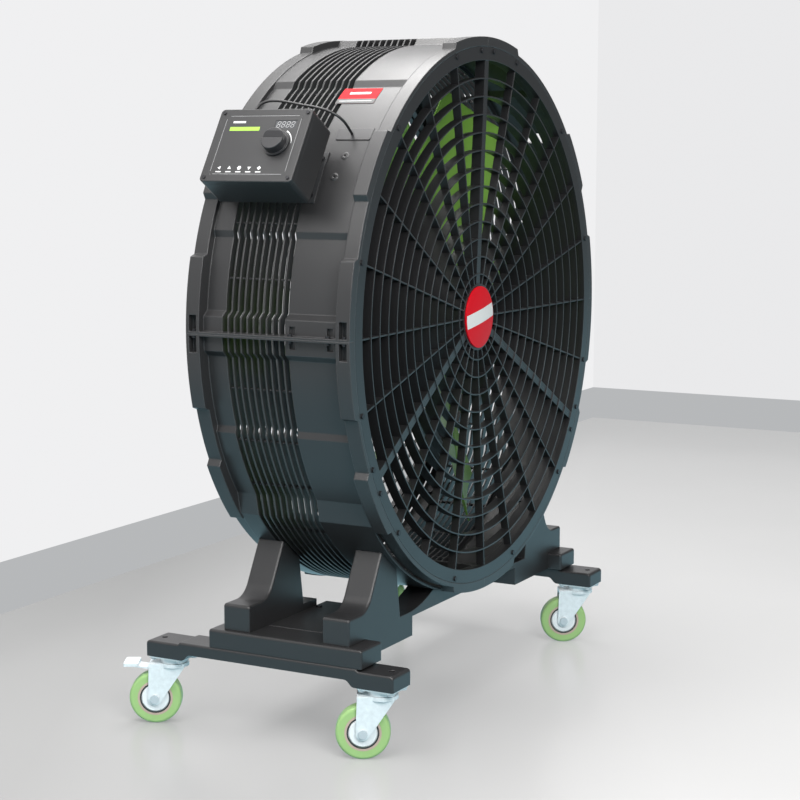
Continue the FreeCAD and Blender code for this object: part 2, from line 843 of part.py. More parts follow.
def mount_bolt_shank(index):
    degrees = first_arm_deg + index * 360 / arm_count
    place = at(ledge_r + arm_reach - mount_bolt_inset, degrees, arm_foot_front)
    return Part.makeCylinder(mount_bolt_r, arm_lap + arm_set + mount_bolt_bite, place, backward)


def stator_bolt(index):
    """The head on the plate's back and the shank that goes forward into the stator's flange."""
    degrees = index * 360 / arm_count
    place = at(stator_bolt_pcr, degrees, arm_front)
    head = Part.makeCylinder(mount_head_r, mount_head, place, backward)
    shank = Part.makeCylinder(mount_bolt_r, stator_bolt_length, place, Vec(0, -1, 0))
    return head, shank


def make_motor():
    save("motor_stator", stator())
    save("motor_mount", motor_mount())
    bolts = []
    for index in range(arm_count):
        degrees = first_arm_deg + index * 360 / arm_count
        place = at(ledge_r + arm_reach - mount_bolt_inset, degrees, arm_foot_front - mount_head)
        head = Part.makeCylinder(mount_head_r, mount_head, place, backward)
        bolts.append(head.fuse(mount_bolt_shank(index)))
        bolts.append(stator_bolt(index)[0].fuse(stator_bolt(index)[1]))
    save("motor_bolts", *bolts)


# Base on the right-hand side, mirrored for the left
front_cradle_y = front_plane + front_cradle_set
rear_cradle_y = back_plane - rear_cradle_inset - cradle_thick
cradle_bolt_y = (front_cradle_y + cradle_thick / 2, rear_cradle_y + cradle_thick / 2)


def foot_beam():
    half = foot_length / 2
    pad = half - pad_length
    step = pad + foot_slope
    arch_z = caster_height + foot_arch
    inner_x = foot_outer_x - foot_width
    top = [(-half, caster_height), (-half, pad_top_z), (-step, pad_top_z),
           (-step + foot_rise_top, foot_top_z),
           (step - foot_rise_top, foot_top_z), (step, pad_top_z), (half, pad_top_z),
           (half, caster_height)]
    under = [(half, caster_height), (pad, caster_height), (pad - foot_slope, arch_z),
             (-pad + foot_slope, arch_z),
             (-pad, caster_height), (-half, caster_height)]
    crest = rounded_line([Vec(inner_x, y, z) for y, z in top],
                         [foot_end_r] + [foot_rise_top] * 4 + [foot_end_r])
    belly = rounded_line([Vec(inner_x, y, z) for y, z in under], [foot_slope] * 4)
    across_beam = Vec(foot_width, 0, 0)
    beam = filled(crest + belly, across_beam)
    beam = beam.makeFillet(foot_edge_r, matching_edges(beam, crest, across_beam))
    cuts = []
    room = cradle_bolt_y[1] - cradle_bolt_y[0] - 2 * base_bolt_head_r - 2 * foot_pocket_wall
    start = cradle_bolt_y[0] + base_bolt_head_r + foot_pocket_wall
    pitch = (room + foot_pocket_rib) / foot_pocket_count
    for index in range(foot_pocket_count):
        y = start + index * pitch
        cuts.append(block(inner_x + foot_pocket_wall, foot_outer_x - foot_pocket_wall, y,
                          y + pitch - foot_pocket_rib,
                          arch_z - overrun, arch_z + foot_pocket_depth))
    for y in (-half + pad_hole_inset, half - pad_hole_inset):
        cuts.append(Part.makeCylinder(pad_hole_r, pad_hole_depth + overrun,
                                      Vec(foot_centre_x, y, pad_top_z - pad_hole_depth), upward))
    cuts += [base_bolt_shank(y) for y in cradle_bolt_y]
    cuts += [plate_bolt_shank(x, y) for x, y in plate_bolt_places()]
    return beam.cut(cuts)


def base_bolt_shank(y):
    low = caster_height + foot_arch
    return Part.makeCylinder(base_bolt_r, tier_top_z + base_bolt_grip - low, Vec(foot_centre_x, y, low),
                             upward)


def pedestal():
    front = front_plane + tier_front
    back = back_plane - tier_back_inset
    tier = block(tier_inner_x, tier_outer_x, front, back, foot_top_z, tier_top_z)
    tier = tier.makeFillet(tier_edge_r, edges_along(tier, upward) + edges_of_face(tier, upward))
    tray = block(tray_inner_x, tier_inner_x, front_cradle_y + cradle_thick, rear_cradle_y,
                 tier_top_z - tray_thick, tier_top_z)
    cuts = [base_bolt_shank(y) for y in cradle_bolt_y]
    cuts += [tray_screw(y)[1] for y in tray_screw_rows()]
    return fuse([tier, tray]).cut(cuts)


def tray_screw_rows():
    return (front_cradle_y + cradle_thick + tray_screw_inset, rear_cradle_y - tray_screw_inset)


def tray_screw(y):
    top = Vec(cradle_inner_x + tray_screw_side, y, tier_top_z)
    head = Part.makeCylinder(tray_screw_head_r, tray_screw_head, top, upward)
    shank = Part.makeCylinder(tray_screw_r, tray_screw_length, top, Vec(0, 0, -1))
    return head, shank


def saddle_bolt_places():
    """Angle and y of the bolt that holds the drum to each leg's top."""
    below = -quarter_deg
    middle_deg = (leg_top_deg + leg_inner_deg) / 2
    rows = (cradle_bolt_y[0], cradle_bolt_y[1] + saddle_bolt_shift)
    return [(below + side * middle_deg, y) for side in (-1, 1) for y in rows]


def saddle_bolt(degrees, y):
    wall = Vec(foot_r - shell_wall, y, axis_height)
    head = Part.makeCylinder(saddle_bolt_head_r, saddle_bolt_head, wall, Vec(-1, 0, 0))
    shank = Part.makeCylinder(saddle_bolt_r, shell_wall + saddle_bite, wall, outward)
    return turned(head, degrees), turned(shank, degrees)


def cradle_outer_edges(y):
    """The outer line of a cradle's right half, over the block and up the leg to the saddle."""
    leg_top = at(foot_r, -quarter_deg + leg_top_deg, y)
    corners = [Vec(block_outer_x, y, tier_top_z), Vec(block_outer_x, y, block_top_z),
               Vec(block_inner_x, y, block_top_z), leg_top]
    return rounded_line(corners, (block_corner_r, leg_root_r))


def cradle_half(y, bar):
    """The right half of the front cradle, with the bar to the middle. A rear leg has no bar."""
    bar_z = foot_top_z + cross_bar_lift
    sill_z = foot_top_z + window_sill
    leg_inner = at(foot_r, -quarter_deg + leg_inner_deg, y)
    inner = [leg_inner, Vec(window_outer_x, y, sill_z), Vec(cradle_inner_x, y, sill_z)]
    if bar:
        inner = [at(foot_r, -quarter_deg, y), Vec(0, y, bar_z), Vec(cradle_inner_x, y, bar_z)]
    corners = inner + [Vec(cradle_inner_x, y, foot_top_z), Vec(tier_inner_x, y, foot_top_z),
                       Vec(tier_inner_x, y, tier_top_z), Vec(block_outer_x, y, tier_top_z)]
    under = [Part.makeLine(a, b) for a, b in zip(corners, corners[1:])]
    outer = cradle_outer_edges(y)
    saddle = [arc(foot_r, -quarter_deg + leg_top_deg, -quarter_deg + (0 if bar else leg_inner_deg), y)]
    thick = Vec(0, cradle_thick, 0)
    solid = filled(under + outer + saddle, thick)
    return solid.makeFillet(cradle_edge_r, matching_edges(solid, outer, thick))


def cradle_window(y):
    """The opening between a leg, the saddle and the bar's gusset."""
    sill = foot_top_z + window_sill
    top = at(foot_r, -quarter_deg + leg_inner_deg, y)
    tip = at(foot_r, -quarter_deg + gusset_deg, y)
    low_out = Vec(window_outer_x, y, sill)
    low_in = Vec(window_corner_x, y, sill)
    belly = Vec((tip.x + low_in.x) / 2, y, sill + (tip.z - sill) * gusset_sag_share)
    edges = [Part.makeLine(top, low_out), Part.makeLine(low_out, low_in),
             Part.Arc(low_in, belly, tip).toShape(),
             arc(foot_r, -quarter_deg + gusset_deg, -quarter_deg + leg_inner_deg, y)]
    return filled(edges, Vec(0, cradle_thick, 0))


def leg_half(y, bar):
    """One side of the cradle, with the ledge that carries the tray and all its screw holes."""
    half = cradle_half(y, bar)
    half = half.cut(cradle_window(y)) if bar else half
    ledge_y = y + cradle_thick if bar else y - ledge_width
    ledge = block(cradle_inner_x, tier_inner_x - ledge_inset, ledge_y, ledge_y + ledge_width,
                  foot_top_z, tier_top_z - tray_thick)
    cuts = [base_bolt_shank(row) for row in cradle_bolt_y]
    cuts += [tray_screw(row)[1] for row in tray_screw_rows()]
    cuts += [saddle_bolt(*place)[1] for place in saddle_bolt_places()]
    return half.fuse(ledge).cut(cuts)


def make_base():
    beam = foot_beam()
    stand = pedestal()
    save("right_foot_beam", beam)
    save("left_foot_beam", mirrored(beam))
    save("right_pedestal", stand)
    save("left_pedestal", mirrored(stand))
    front_half = leg_half(front_cradle_y, True)
    rear_leg = leg_half(rear_cradle_y, False)
    save("front_cradle", front_half.fuse(mirrored(front_half)).removeSplitter())
    save("right_rear_leg", rear_leg)
    save("left_rear_leg", mirrored(rear_leg))
    low = caster_height + foot_arch
    bolts = []
    for y in cradle_bolt_y:
        head = Part.makeCylinder(base_bolt_head_r, base_bolt_head,
                                 Vec(foot_centre_x, y, low - base_bolt_head), upward)
        bolts.append(head.fuse(base_bolt_shank(y)))
    save("base_bolts", *(bolts + [mirrored(bolt) for bolt in bolts]))
    save("saddle_bolts", *[head.fuse(shank) for head,
                           shank in (saddle_bolt(*place) for place in saddle_bolt_places())])
    screws = [head.fuse(shank) for head, shank in (tray_screw(y) for y in tray_screw_rows())]
    save("tray_screws", *(screws + [mirrored(screw) for screw in screws]))


# One caster about its own swivel axis, trailing towards +Y
plate_z = caster_height - plate_thick
race_z = plate_z - race_height
fork_top_z = race_z - race_gap
fork_low_z = fork_top_z - fork_disc
caster_places = (("front_right", foot_centre_x, -caster_y), ("front_left", -foot_centre_x, -caster_y),
                 ("rear_right", foot_centre_x, caster_y), ("rear_left", -foot_centre_x, caster_y))


def upright(radius, z0, z1):
    return Part.makeCylinder(radius, z1 - z0, Vec(0, 0, z0), upward)


def across(radius, x0, x1, y, z):
    return Part.makeCylinder(radius, x1 - x0, Vec(x0, y, z), outward)


def moved(shape, x, y, degrees):
    copy = shape.copy()
    copy.rotate(Vec(0, 0, 0), upward, degrees)
    copy.translate(Vec(x, y, 0))
    return copy


def plate_bolt_places():
    signs = (-1, 1)
    return [(foot_centre_x + a * plate_bolt_x, end * caster_y + b * plate_bolt_y)
            for end in signs for a in signs for b in signs]


def plate_bolt_shank(x, y):
    return Part.makeCylinder(plate_bolt_r, plate_thick + plate_bolt_bite, Vec(x, y, plate_z), upward)


def caster_plate():
    half_x = plate_width / 2
    half_y = plate_length / 2
    plate = block(-half_x, half_x, -half_y, half_y, plate_z, caster_height)
    plate = plate.makeFillet(plate_corner_r, edges_along(plate, upward))
    nut_top = fork_low_z - race_gap
    solid = fuse([plate, upright(race_r, race_z, plate_z),
                  upright(king_pin_r, nut_top - king_nut, race_z),
                  upright(king_nut_r, nut_top - king_nut, nut_top)])
    holes = [Part.makeCylinder(plate_bolt_r, plate_thick,
                               Vec(a * plate_bolt_x, b * plate_bolt_y, plate_z), upward)
             for a in (-1, 1) for b in (-1, 1)]
    return solid.cut(holes)


def caster_fork():
    outer = fork_inner + fork_gauge
    web = upright(fork_disc_r, fork_low_z, fork_top_z)
    web = web.fuse(block(-outer, outer, -fork_front, fork_back, fork_low_z, fork_top_z))
    cheeks = []
    for x in (-outer, fork_inner):
        front = math.atan2(wheel_r - fork_low_z, caster_trail + fork_front)
        lean = Vec(0, math.sin(front), -math.cos(front)) * fork_foot_r
        hub = Vec(x, caster_trail, wheel_r)
        points = [Vec(x, -fork_front, fork_top_z), Vec(x, -fork_front, fork_low_z), hub + lean,
                  Vec(x, caster_trail + fork_foot_r, wheel_r), Vec(x, fork_back, fork_low_z),
                  Vec(x, fork_back, fork_top_z)]
        cheek = prism(points, Vec(fork_gauge, 0, 0))
        cheeks.append(cheek.fuse(across(fork_foot_r, x, x + fork_gauge, caster_trail, wheel_r)))
    solid = fuse([web] + cheeks)
    return solid.cut([upright(king_pin_r + running_gap, fork_low_z - overrun, fork_top_z + overrun),
                      across(axle_r, -outer - overrun, outer + overrun, caster_trail, wheel_r)])


def caster_axle():
    outer = fork_inner + fork_gauge
    shank = across(axle_r, -outer, outer, caster_trail, wheel_r)
    head = across(axle_head_r, -outer - axle_head, -outer, caster_trail, wheel_r)
    nut = across(axle_head_r, outer, outer + axle_head, caster_trail, wheel_r)
    return shank.multiFuse([head, nut])


def wheel_tyre():
    half = wheel_width / 2
    tyre = across(wheel_r, -half, half, caster_trail, wheel_r)
    rims = [edge for edge in tyre.Edges if edge.Curve.TypeId == "Part::GeomCircle"]
    tyre = tyre.makeFillet(tyre_edge_r, rims)
    return tyre.cut(across(tyre_in_r, -half - overrun, half + overrun, caster_trail, wheel_r))


def wheel_core():
    half = core_width / 2
    boss = fork_inner - axle_boss_gap
    rim = wheel_width / 2
    bore = axle_r + running_gap
    profile = [(bore, boss), (core_boss_r, boss), (core_boss_r, half), (core_cap_r - core_cap_dish, half),
               (core_cap_r, half - core_cap_dish), (core_cap_r, rim - core_web / 2),
               (tyre_in_r, rim - core_web / 2)]
    mirror_side = [(r, -x) for r, x in reversed(profile)]
    points = [Vec(x, caster_trail + r, wheel_r) for r, x in profile + mirror_side]
    face = Part.Face(Part.makePolygon(points + [points[0]]))
    return face.revolve(Vec(0, caster_trail, wheel_r), outward, 360)


def brake_pedal():
    """A lever on its pin between the fork's cheeks, with a broad tread behind the wheel."""
    z = caster_height - pedal_drop
    half = pedal_half_width
    tip_z = z + pedal_rise
    low = pedal_gauge / 2
    side = [Vec(-half, pedal_y, z - low), Vec(-half, pedal_reach, tip_z - low),
            Vec(-half, pedal_reach, tip_z + low), Vec(-half, pedal_y, z + low)]
    lever = prism(side, Vec(2 * half, 0, 0))
    tread = block(-pedal_tread_half, pedal_tread_half, pedal_reach - pedal_tread, pedal_reach,
                  tip_z - low, tip_z + low + pedal_tread_rise)
    tread = tread.makeFillet(pedal_tread_rise, edges_along(tread, upward))
    hub = across(pedal_hub_r, -half, half, pedal_y, z)
    pin_half = fork_inner + fork_gauge
    pin = across(pedal_pin_r, -pin_half, pin_half, pedal_y, z)
    return lever.multiFuse([tread, hub, pin]).removeSplitter()


def pedal_pin_hole():
    outer = fork_inner + fork_gauge + overrun
    return across(pedal_pin_r + running_gap, -outer, outer, pedal_y, caster_height - pedal_drop)


def make_casters():
    plate = caster_plate()
    fork = caster_fork()
    braked_fork = fork.cut(pedal_pin_hole())
    axle = caster_axle()
    tyre = wheel_tyre()
    core = wheel_core()
    pedal = brake_pedal()
    save("caster_plates", *[moved(plate, x, y, 0) for name, x, y in caster_places])
    for name, x, y in caster_places:
        rear = name.startswith("rear")
        save("caster_fork_" + name, moved(braked_fork if rear else fork, x, y, caster_turn_deg))
        save("axle_" + name, moved(axle, x, y, caster_turn_deg))
        save("tyre_" + name, moved(tyre, x, y, caster_turn_deg))
        save("wheel_core_" + name, moved(core, x, y, caster_turn_deg))
        if rear:
            save("brake_pedal_" + name, moved(pedal, x, y, caster_turn_deg))
    bolts = []
    for x, y in plate_bolt_places():
        head = Part.makeCylinder(plate_bolt_head_r, plate_bolt_head,
                                 Vec(x, y, plate_z - plate_bolt_head), upward)
        bolts.append(head.fuse(plate_bolt_shank(x, y)))
    save("caster_bolts", *(bolts + [mirrored(bolt) for bolt in bolts]))


# Control box, built facing +X at the axis height and then turned up to its place on the drum
lid_back = box_front_r - lid_thick
case_back = lid_back - case_depth


def placed(shape):
    copy = shape.copy()
    copy.translate(Vec(0, box_y, 0))
    return turned(copy, box_deg)


def in_box(radius, up, y):
    """A point of the box: radius from the fan's axis, height up the panel, y from the box's middle."""
    return Vec(radius, y, axis_height - up)


def box_post(radius, r0, r1, y, up):
    return Part.makeCylinder(radius, r1 - r0, in_box(r0, up, y), outward)


def corner_places(y, up):
    return [(a * y, b * up) for a in (-1, 1) for b in (-1, 1)]


def panel_block(r0, r1, y, up, width, height):
    half = height / 2
    return block(r0, r1, y - width / 2, y + width / 2, axis_height - up - half, axis_height - up + half)


def lid_screw_shank(y, up):
    return box_post(lid_screw_r, box_front_r - lid_screw_length, box_front_r, y, up)


def control_case():
    case = round_box(case_back, lid_back, box_width / 2, box_height / 2, box_corner_r)
    cavity = round_box(case_back + case_wall, lid_back, box_width / 2 - case_wall,
                       box_height / 2 - case_wall,
                       box_corner_r - case_wall)
    outline = case.copy()
    solids = [case.cut(cavity)]
    for y, up in corner_places(lid_screw_y, lid_screw_up):
        solids.append(box_post(post_r, case_back, lid_back, y, up).common(outline))
    for y, up in corner_places(board_width / 2 - standoff_inset, board_height / 2 - standoff_inset):
        solids.append(box_post(standoff_r, case_back, case_back + case_wall + board_lift, y, up))
    holes = [lid_screw_shank(y, up) for y, up in corner_places(lid_screw_y, lid_screw_up)]
    return fuse(solids).cut(holes + [gland_bore()])


def control_lid():
    lid = round_box(lid_back, box_front_r, box_width / 2, box_height / 2, box_corner_r)
    lid = lid.makeFillet(lid_edge_r, edges_of_face(lid, outward))
    recess = round_box(box_front_r - panel_thick, box_front_r + overrun, panel_width / 2,
                       panel_height / 2,
                       panel_corner_r)
    cuts = [recess, box_post(knob_shaft_r + knob_bush_gap, lid_back - overrun, box_front_r, knob_y,
                             knob_up),
            panel_block(lid_back - overrun, box_front_r, window_y, window_up, window_width,
                        window_height)]
    cuts += [lid_screw_shank(y, up) for y, up in corner_places(lid_screw_y, lid_screw_up)]
    return lid.cut(cuts)


def control_panel():
    panel = round_box(box_front_r - panel_thick, box_front_r, panel_width / 2, panel_height / 2,
                      panel_corner_r)
    return panel.cut([box_post(knob_shaft_r + knob_bush_gap, lid_back, box_front_r + overrun, knob_y,
                               knob_up),
                      panel_block(lid_back, box_front_r + overrun, window_y, window_up, window_width,
                                  window_height)])


def display_window():
    glass = panel_block(lid_back, box_front_r - panel_thick / 2, window_y, window_up, window_width,
                        window_height)
    wide = window_width + 2 * window_flange
    high = window_height + 2 * window_flange
    return glass.fuse(panel_block(lid_back - window_depth, lid_back, window_y, window_up, wide, high))


def speed_knob():
    base = box_front_r + knob_lift
    skirt = box_post(knob_skirt_r, base, base + knob_skirt, knob_y, knob_up)
    grip = box_post(knob_r, base + knob_skirt, base + knob_height, knob_y, knob_up)
    rims = [edge for edge in grip.Edges if edge.Curve.TypeId == "Part::GeomCircle"
            and edge.CenterOfMass.x > base + knob_skirt + knob_edge_r]
    grip = grip.makeFillet(knob_edge_r, rims)
    notch_floor = base + knob_skirt + (knob_height - knob_skirt) * knob_notch_share
    centre = in_box(base, knob_up, knob_y)
    far = knob_r + overrun
    wedge = prism([Vec(base + knob_height + overrun, centre.y - far, centre.z),
                   Vec(notch_floor, centre.y - far, centre.z),
                   Vec(base + knob_height + overrun, centre.y - far, centre.z - far)], Vec(0, 2 * far, 0))
    shaft = box_post(knob_shaft_r, lid_back - knob_shaft_bite, base, knob_y, knob_up)
    return fuse([skirt, grip.cut(wedge), shaft])


def circuit_board():
    low = case_back + case_wall + board_lift
    board = panel_block(low, low + board_thick, 0, 0, board_width, board_height)
    pot = panel_block(low + board_thick, lid_back - pot_gap, knob_y, knob_up, pot_side, pot_side)
    bore = box_post(knob_shaft_r + running_gap, lid_back - knob_shaft_bite - pot_gap, lid_back, knob_y,
                    knob_up)
    return board.fuse(pot).cut(bore)


def gland_point(height):
    return in_box(lid_back - case_depth + gland_set, box_height / 2 + height, gland_y)


def gland_bore():
    return Part.makeCylinder(lead_d / 2, 2 * overrun, gland_point(-overrun), Vec(0, 0, -1))


def cable_gland():
    down = Vec(0, 0, -1)
    nut = Part.makeCylinder(gland_r, gland_nut, gland_point(0), down)
    tip = Part.makeCone(gland_r - gland_tip_r / 4, gland_tip_r, gland_tip, gland_point(gland_nut), down)
    return nut.fuse(tip)


# Bracket between the box and the drum: a plate with an ear, two webs cut to the drum's curve and two feet
def bracket_screw_places():
    return [(a * web_y + a * bracket_foot / 2, up) for a in (-1, 1)
            for up in (-bracket_screw_up, bracket_screw_up)]


def bracket_screw(y, up):
    tilt = math.degrees(math.asin(up / shoulder_r))
    low = Vec(shoulder_r - bracket_screw_bite, y, axis_height)
    shank = Part.makeCylinder(bracket_screw_r, bracket_screw_bite + bracket_gauge, low, outward)
    head = Part.makeCylinder(bracket_screw_head_r, bracket_screw_head,
                             Vec(shoulder_r + bracket_gauge, y, axis_height), outward)
    return turned(shank, -tilt), turned(head, -tilt)


def bracket_screw_shanks():
    return [placed(bracket_screw(y, up)[0]) for y, up in bracket_screw_places()]


def foot_arc(y0, y1):
    half = math.degrees(math.asin(web_height / 2 / shoulder_r))
    points = [Vec(r, y, axis_height) for r, y in ((shoulder_r, y0), (shoulder_r + bracket_gauge, y0),
                                                  (shoulder_r + bracket_gauge, y1), (shoulder_r, y1))]
    face = Part.Face(Part.makePolygon(points + [points[0]]))
    return turned(face.revolve(fan_axis, Vec(0, -1, 0), 2 * half), -half)


def bracket():
    half = bracket_width / 2
    high = bracket_height / 2
    low_r = case_back - bracket_gauge
    ear = half + bracket_ear
    outline = [(-half, -high), (half, -high), (ear, -high + bracket_ear_cut),
               (ear, high - bracket_ear_cut),
               (half, high), (-half, high)]
    plate = prism([Vec(low_r, y, axis_height + z) for y, z in outline], Vec(bracket_gauge, 0, 0))
    solids = [plate]
    for side in (-1, 1):
        y0 = side * web_y - bracket_gauge / 2
        web = block(shoulder_r - web_height / 2, low_r, y0, y0 + bracket_gauge,
                    axis_height - web_height / 2, axis_height + web_height / 2)
        solids.append(web.cut(along_axis(shoulder_r, front_plane, back_plane)))
        reach = sorted((side * web_y, side * (web_y + bracket_foot)))
        solids.append(foot_arc(*reach))
    solid = fuse(solids)
    return solid.cut([bracket_screw(y, up)[0] for y, up in bracket_screw_places()])


# Lead: straight runs joined by arcs as large as the runs allow
def lead_points():
    start = gland_point(gland_nut + gland_tip)
    rise = start.x - shoulder_r
    return [Vec(shoulder_r + share * rise, start.y - along, start.z - over)
            for share, (over, along) in zip(lead_rise_shares, lead_route)]


def lead():
    points = lead_points()
    radii = []
    for before, corner, after in zip(points, points[1:], points[2:]):
        half = (before - corner).getAngle(after - corner) / 2
        trim = 0.45 * min(before.distanceToPoint(corner), after.distanceToPoint(corner))
        radii.append(trim * math.tan(half))
    path = Part.Wire(rounded_line(points, radii))
    ring = Part.Wire(Part.makeCircle(lead_d / 2, points[0], points[1] - points[0]))
    tube = path.makePipeShell([ring], True, False)
    print("lead radii", [round(radius, 1) for radius in radii])
    print("lead length %.1f, volume over section times length %.4f"
          % (path.Length, tube.Volume / (math.pi * lead_d ** 2 / 4 * path.Length)))
    return tube


def grommet():
    """A rubber plug that fills the grip slot beside the box, with a hole for the lead."""
    wall = along_axis(shoulder_r + grommet_rise, front_plane, back_plane)
    wall = wall.cut(along_axis(shoulder_r - shell_wall, front_plane, back_plane))
    points = lead_points()
    last_run = points[-2] - points[-1]
    hole = Part.makeCylinder(lead_d / 2, last_run.Length, points[-1], last_run)
    return mirrored(grip_slot()).common(wall).cut(placed(hole))


def make_control_box():
    save("control_box_case", placed(control_case()))
    save("control_box_lid", placed(control_lid()))
    save("control_panel", placed(control_panel()))
    save("display_window", placed(display_window()))
    save("speed_knob", placed(speed_knob()))
    save("circuit_board", placed(circuit_board()))
    save("cable_gland", placed(cable_gland()))
    save("control_box_bracket", placed(bracket()))
    screws = []
    for y, up in corner_places(lid_screw_y, lid_screw_up):
        head = box_post(lid_screw_head_r, box_front_r, box_front_r + lid_screw_head, y, up)
        screws.append(placed(head.fuse(lid_screw_shank(y, up))))
    save("lid_screws", *screws)
    pairs = [bracket_screw(y, up) for y, up in bracket_screw_places()]
    save("bracket_screws", *[placed(head.fuse(shank)) for shank, head in pairs])
    save("motor_lead", placed(lead()))
    save("lead_grommet", grommet())


make_drum()
make_flange_bolts()
make_grilles()
make_impeller()
make_motor()
make_base()
make_casters()
make_control_box()
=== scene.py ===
# %% [markdown]
# # Industrial drum fan on a wheeled stand
# The real fan is a drum of four bolted plastic quarters, closed by a spoked grille at each end. It
# stands on two foot beams with swivel casters, and a small control box sits on its left shoulder. All
# of it could be meshed again here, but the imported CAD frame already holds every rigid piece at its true
# size. So this script gives those pieces their finishes, and adds only what is soft, printed or too
# thin for the frame.

# %% Load the frame
import json
import math

import bpy
from mathutils import Matrix, Vector


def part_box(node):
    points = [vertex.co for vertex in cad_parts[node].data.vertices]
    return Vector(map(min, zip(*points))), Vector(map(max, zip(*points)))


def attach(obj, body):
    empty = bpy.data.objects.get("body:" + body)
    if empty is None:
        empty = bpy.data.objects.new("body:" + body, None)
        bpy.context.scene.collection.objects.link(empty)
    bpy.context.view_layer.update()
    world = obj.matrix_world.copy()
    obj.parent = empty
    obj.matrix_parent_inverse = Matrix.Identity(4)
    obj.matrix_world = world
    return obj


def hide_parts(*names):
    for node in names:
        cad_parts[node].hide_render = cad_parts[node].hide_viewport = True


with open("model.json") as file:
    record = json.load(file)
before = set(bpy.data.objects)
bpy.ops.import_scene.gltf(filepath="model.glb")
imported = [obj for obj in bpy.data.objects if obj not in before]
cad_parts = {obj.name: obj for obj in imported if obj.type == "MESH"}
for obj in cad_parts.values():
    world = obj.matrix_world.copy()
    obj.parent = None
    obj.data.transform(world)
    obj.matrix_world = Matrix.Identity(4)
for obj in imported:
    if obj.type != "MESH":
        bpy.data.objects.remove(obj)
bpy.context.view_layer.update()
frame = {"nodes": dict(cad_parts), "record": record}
nodes = frame["nodes"]

# %% [markdown]
# The fan's axis runs along Y, and the control box faces out along a radius of the drum. The lead and the
# printed marks could be placed by X, Y and Z, but then every point would hide the same turn. One helper
# turns a radius, a height up the panel and a place along Y into a point in metres, so that the later
# cells read as the maker's drawing.

# %% Measures
AXIS_HEIGHT = 0.762
BOX_DEG = 147.8
BOX_Y = -0.020
BOX_FRONT_R = 0.632


def at_box(radius, up, y):
    """A point near the control box: radius from the axis, height up its panel, y from its middle."""
    angle = math.radians(BOX_DEG)
    out = Vector((math.cos(angle), 0, math.sin(angle)))
    rise = Vector((math.sin(angle), 0, -math.cos(angle)))
    return Vector((0, BOX_Y + y, AXIS_HEIGHT)) + out * radius + rise * up


print("panel's middle at", [round(c, 3) for c in at_box(BOX_FRONT_R, 0, 0)])

# %% [markdown]
# Marks, badges and seals are thin things fixed to one part of the real fan. Each could be modelled with
# Blender's mesh tools, but then its place would depend on what is selected. One helper makes a piece
# from points and faces instead, and says which body carries it and which material it takes.


# %% Mesh helper
def add_mesh(name, points, faces, material, body):
    """A piece made of faces that rides on a body and takes one material."""
    mesh = bpy.data.meshes.new(name)
    mesh.from_pydata([tuple(p) for p in points], [], faces)
    mesh.update()
    piece = bpy.data.objects.new(name, mesh)
    bpy.context.scene.collection.objects.link(piece)
    mesh.materials.append(material)
    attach(piece, body)
    print("made", name)


# %% [markdown]
# The edges of dark mouldings are painted paler: a painted highlight for the light that rounded edges
# catch. A painted mask would need an unwrapped mesh, and a mask by pointiness depends on how finely a
# mesh is cut. The bevel node gives a rounded normal near each edge, so a paler colour is mixed in where
# that normal leaves the face's own.

# %% Painted edge highlights
HIGHLIGHT_RANGE = (0.97, 0.78)


def link(tree, output, target):
    """Join an output socket to an input socket."""
    tree.links.new(output, target)


def paint_edge_highlights(tree, bevel, colour, highlight_colour):
    """Mix a painted highlight in where the bevel's normal leaves the face's own, along the edges."""
    face = tree.nodes.new("ShaderNodeNewGeometry")
    along = tree.nodes.new("ShaderNodeVectorMath")
    along.operation = "DOT_PRODUCT"
    link(tree, bevel.outputs["Normal"], along.inputs[0])
    link(tree, face.outputs["Normal"], along.inputs[1])
    mask = tree.nodes.new("ShaderNodeMapRange")
    mask.inputs["From Min"].default_value, mask.inputs["From Max"].default_value = HIGHLIGHT_RANGE
    link(tree, along.outputs["Value"], mask.inputs["Value"])
    mix = tree.nodes.new("ShaderNodeMix")
    mix.data_type = "RGBA"
    link(tree, mask.outputs["Result"], mix.inputs["Factor"])
    link(tree, colour, mix.inputs["A"])
    mix.inputs["B"].default_value = (*highlight_colour, 1.0)
    link(tree, mix.outputs["Result"], tree.nodes["Principled BSDF"].inputs["Base Color"])


# The paler edges are a painted highlight.
print("edges rub where the two normals' product falls from", HIGHLIGHT_RANGE[0], "to", HIGHLIGHT_RANGE[1])

# %% [markdown]
# Moulded plastic is never one flat colour: the tool's grain scatters light, and the colour drifts a
# little over a large panel. A picture could be laid over it, but that needs an unwrapped mesh. Noise in
# the piece's own space needs none, and it stays put when the piece moves.

# %% Drift of colour
DRIFT_DETAIL = 4.0
GRAIN_DETAIL = 2.0


def add_noise(tree, scale, detail):
    """A noise that is fixed to the piece's own space."""
    place = tree.nodes.new("ShaderNodeTexCoord")
    noise = tree.nodes.new("ShaderNodeTexNoise")
    noise.inputs["Scale"].default_value = scale
    noise.inputs["Detail"].default_value = detail
    link(tree, place.outputs["Object"], noise.inputs["Vector"])
    return noise.outputs["Fac"]


def drift_colour(tree, noise, base, drift):
    """The base colour, a little darker or paler from place to place."""
    colour = tree.nodes.new("ShaderNodeMix")
    colour.data_type = "RGBA"
    colour.inputs["A"].default_value = [c * (1 - drift) for c in base] + [1.0]
    colour.inputs["B"].default_value = [min(1.0, c * (1 + drift)) for c in base] + [1.0]
    link(tree, noise, colour.inputs["Factor"])
    return colour.outputs["Result"]


print("noise detail:", DRIFT_DETAIL, "for drift and", GRAIN_DETAIL, "for grain")

# %% [markdown]
# Plastic, zinc and tyres differ in colour and gloss, but each has drift, grain and edges. A separate
# node tree for each finish would repeat itself, so one function builds them all. The coarse noise moves
# colour and gloss, and the fine one is the grain. A small bevel in the shading catches light along the
# edges, as a moulding's rounded edges do, without changing the frame's meshes.

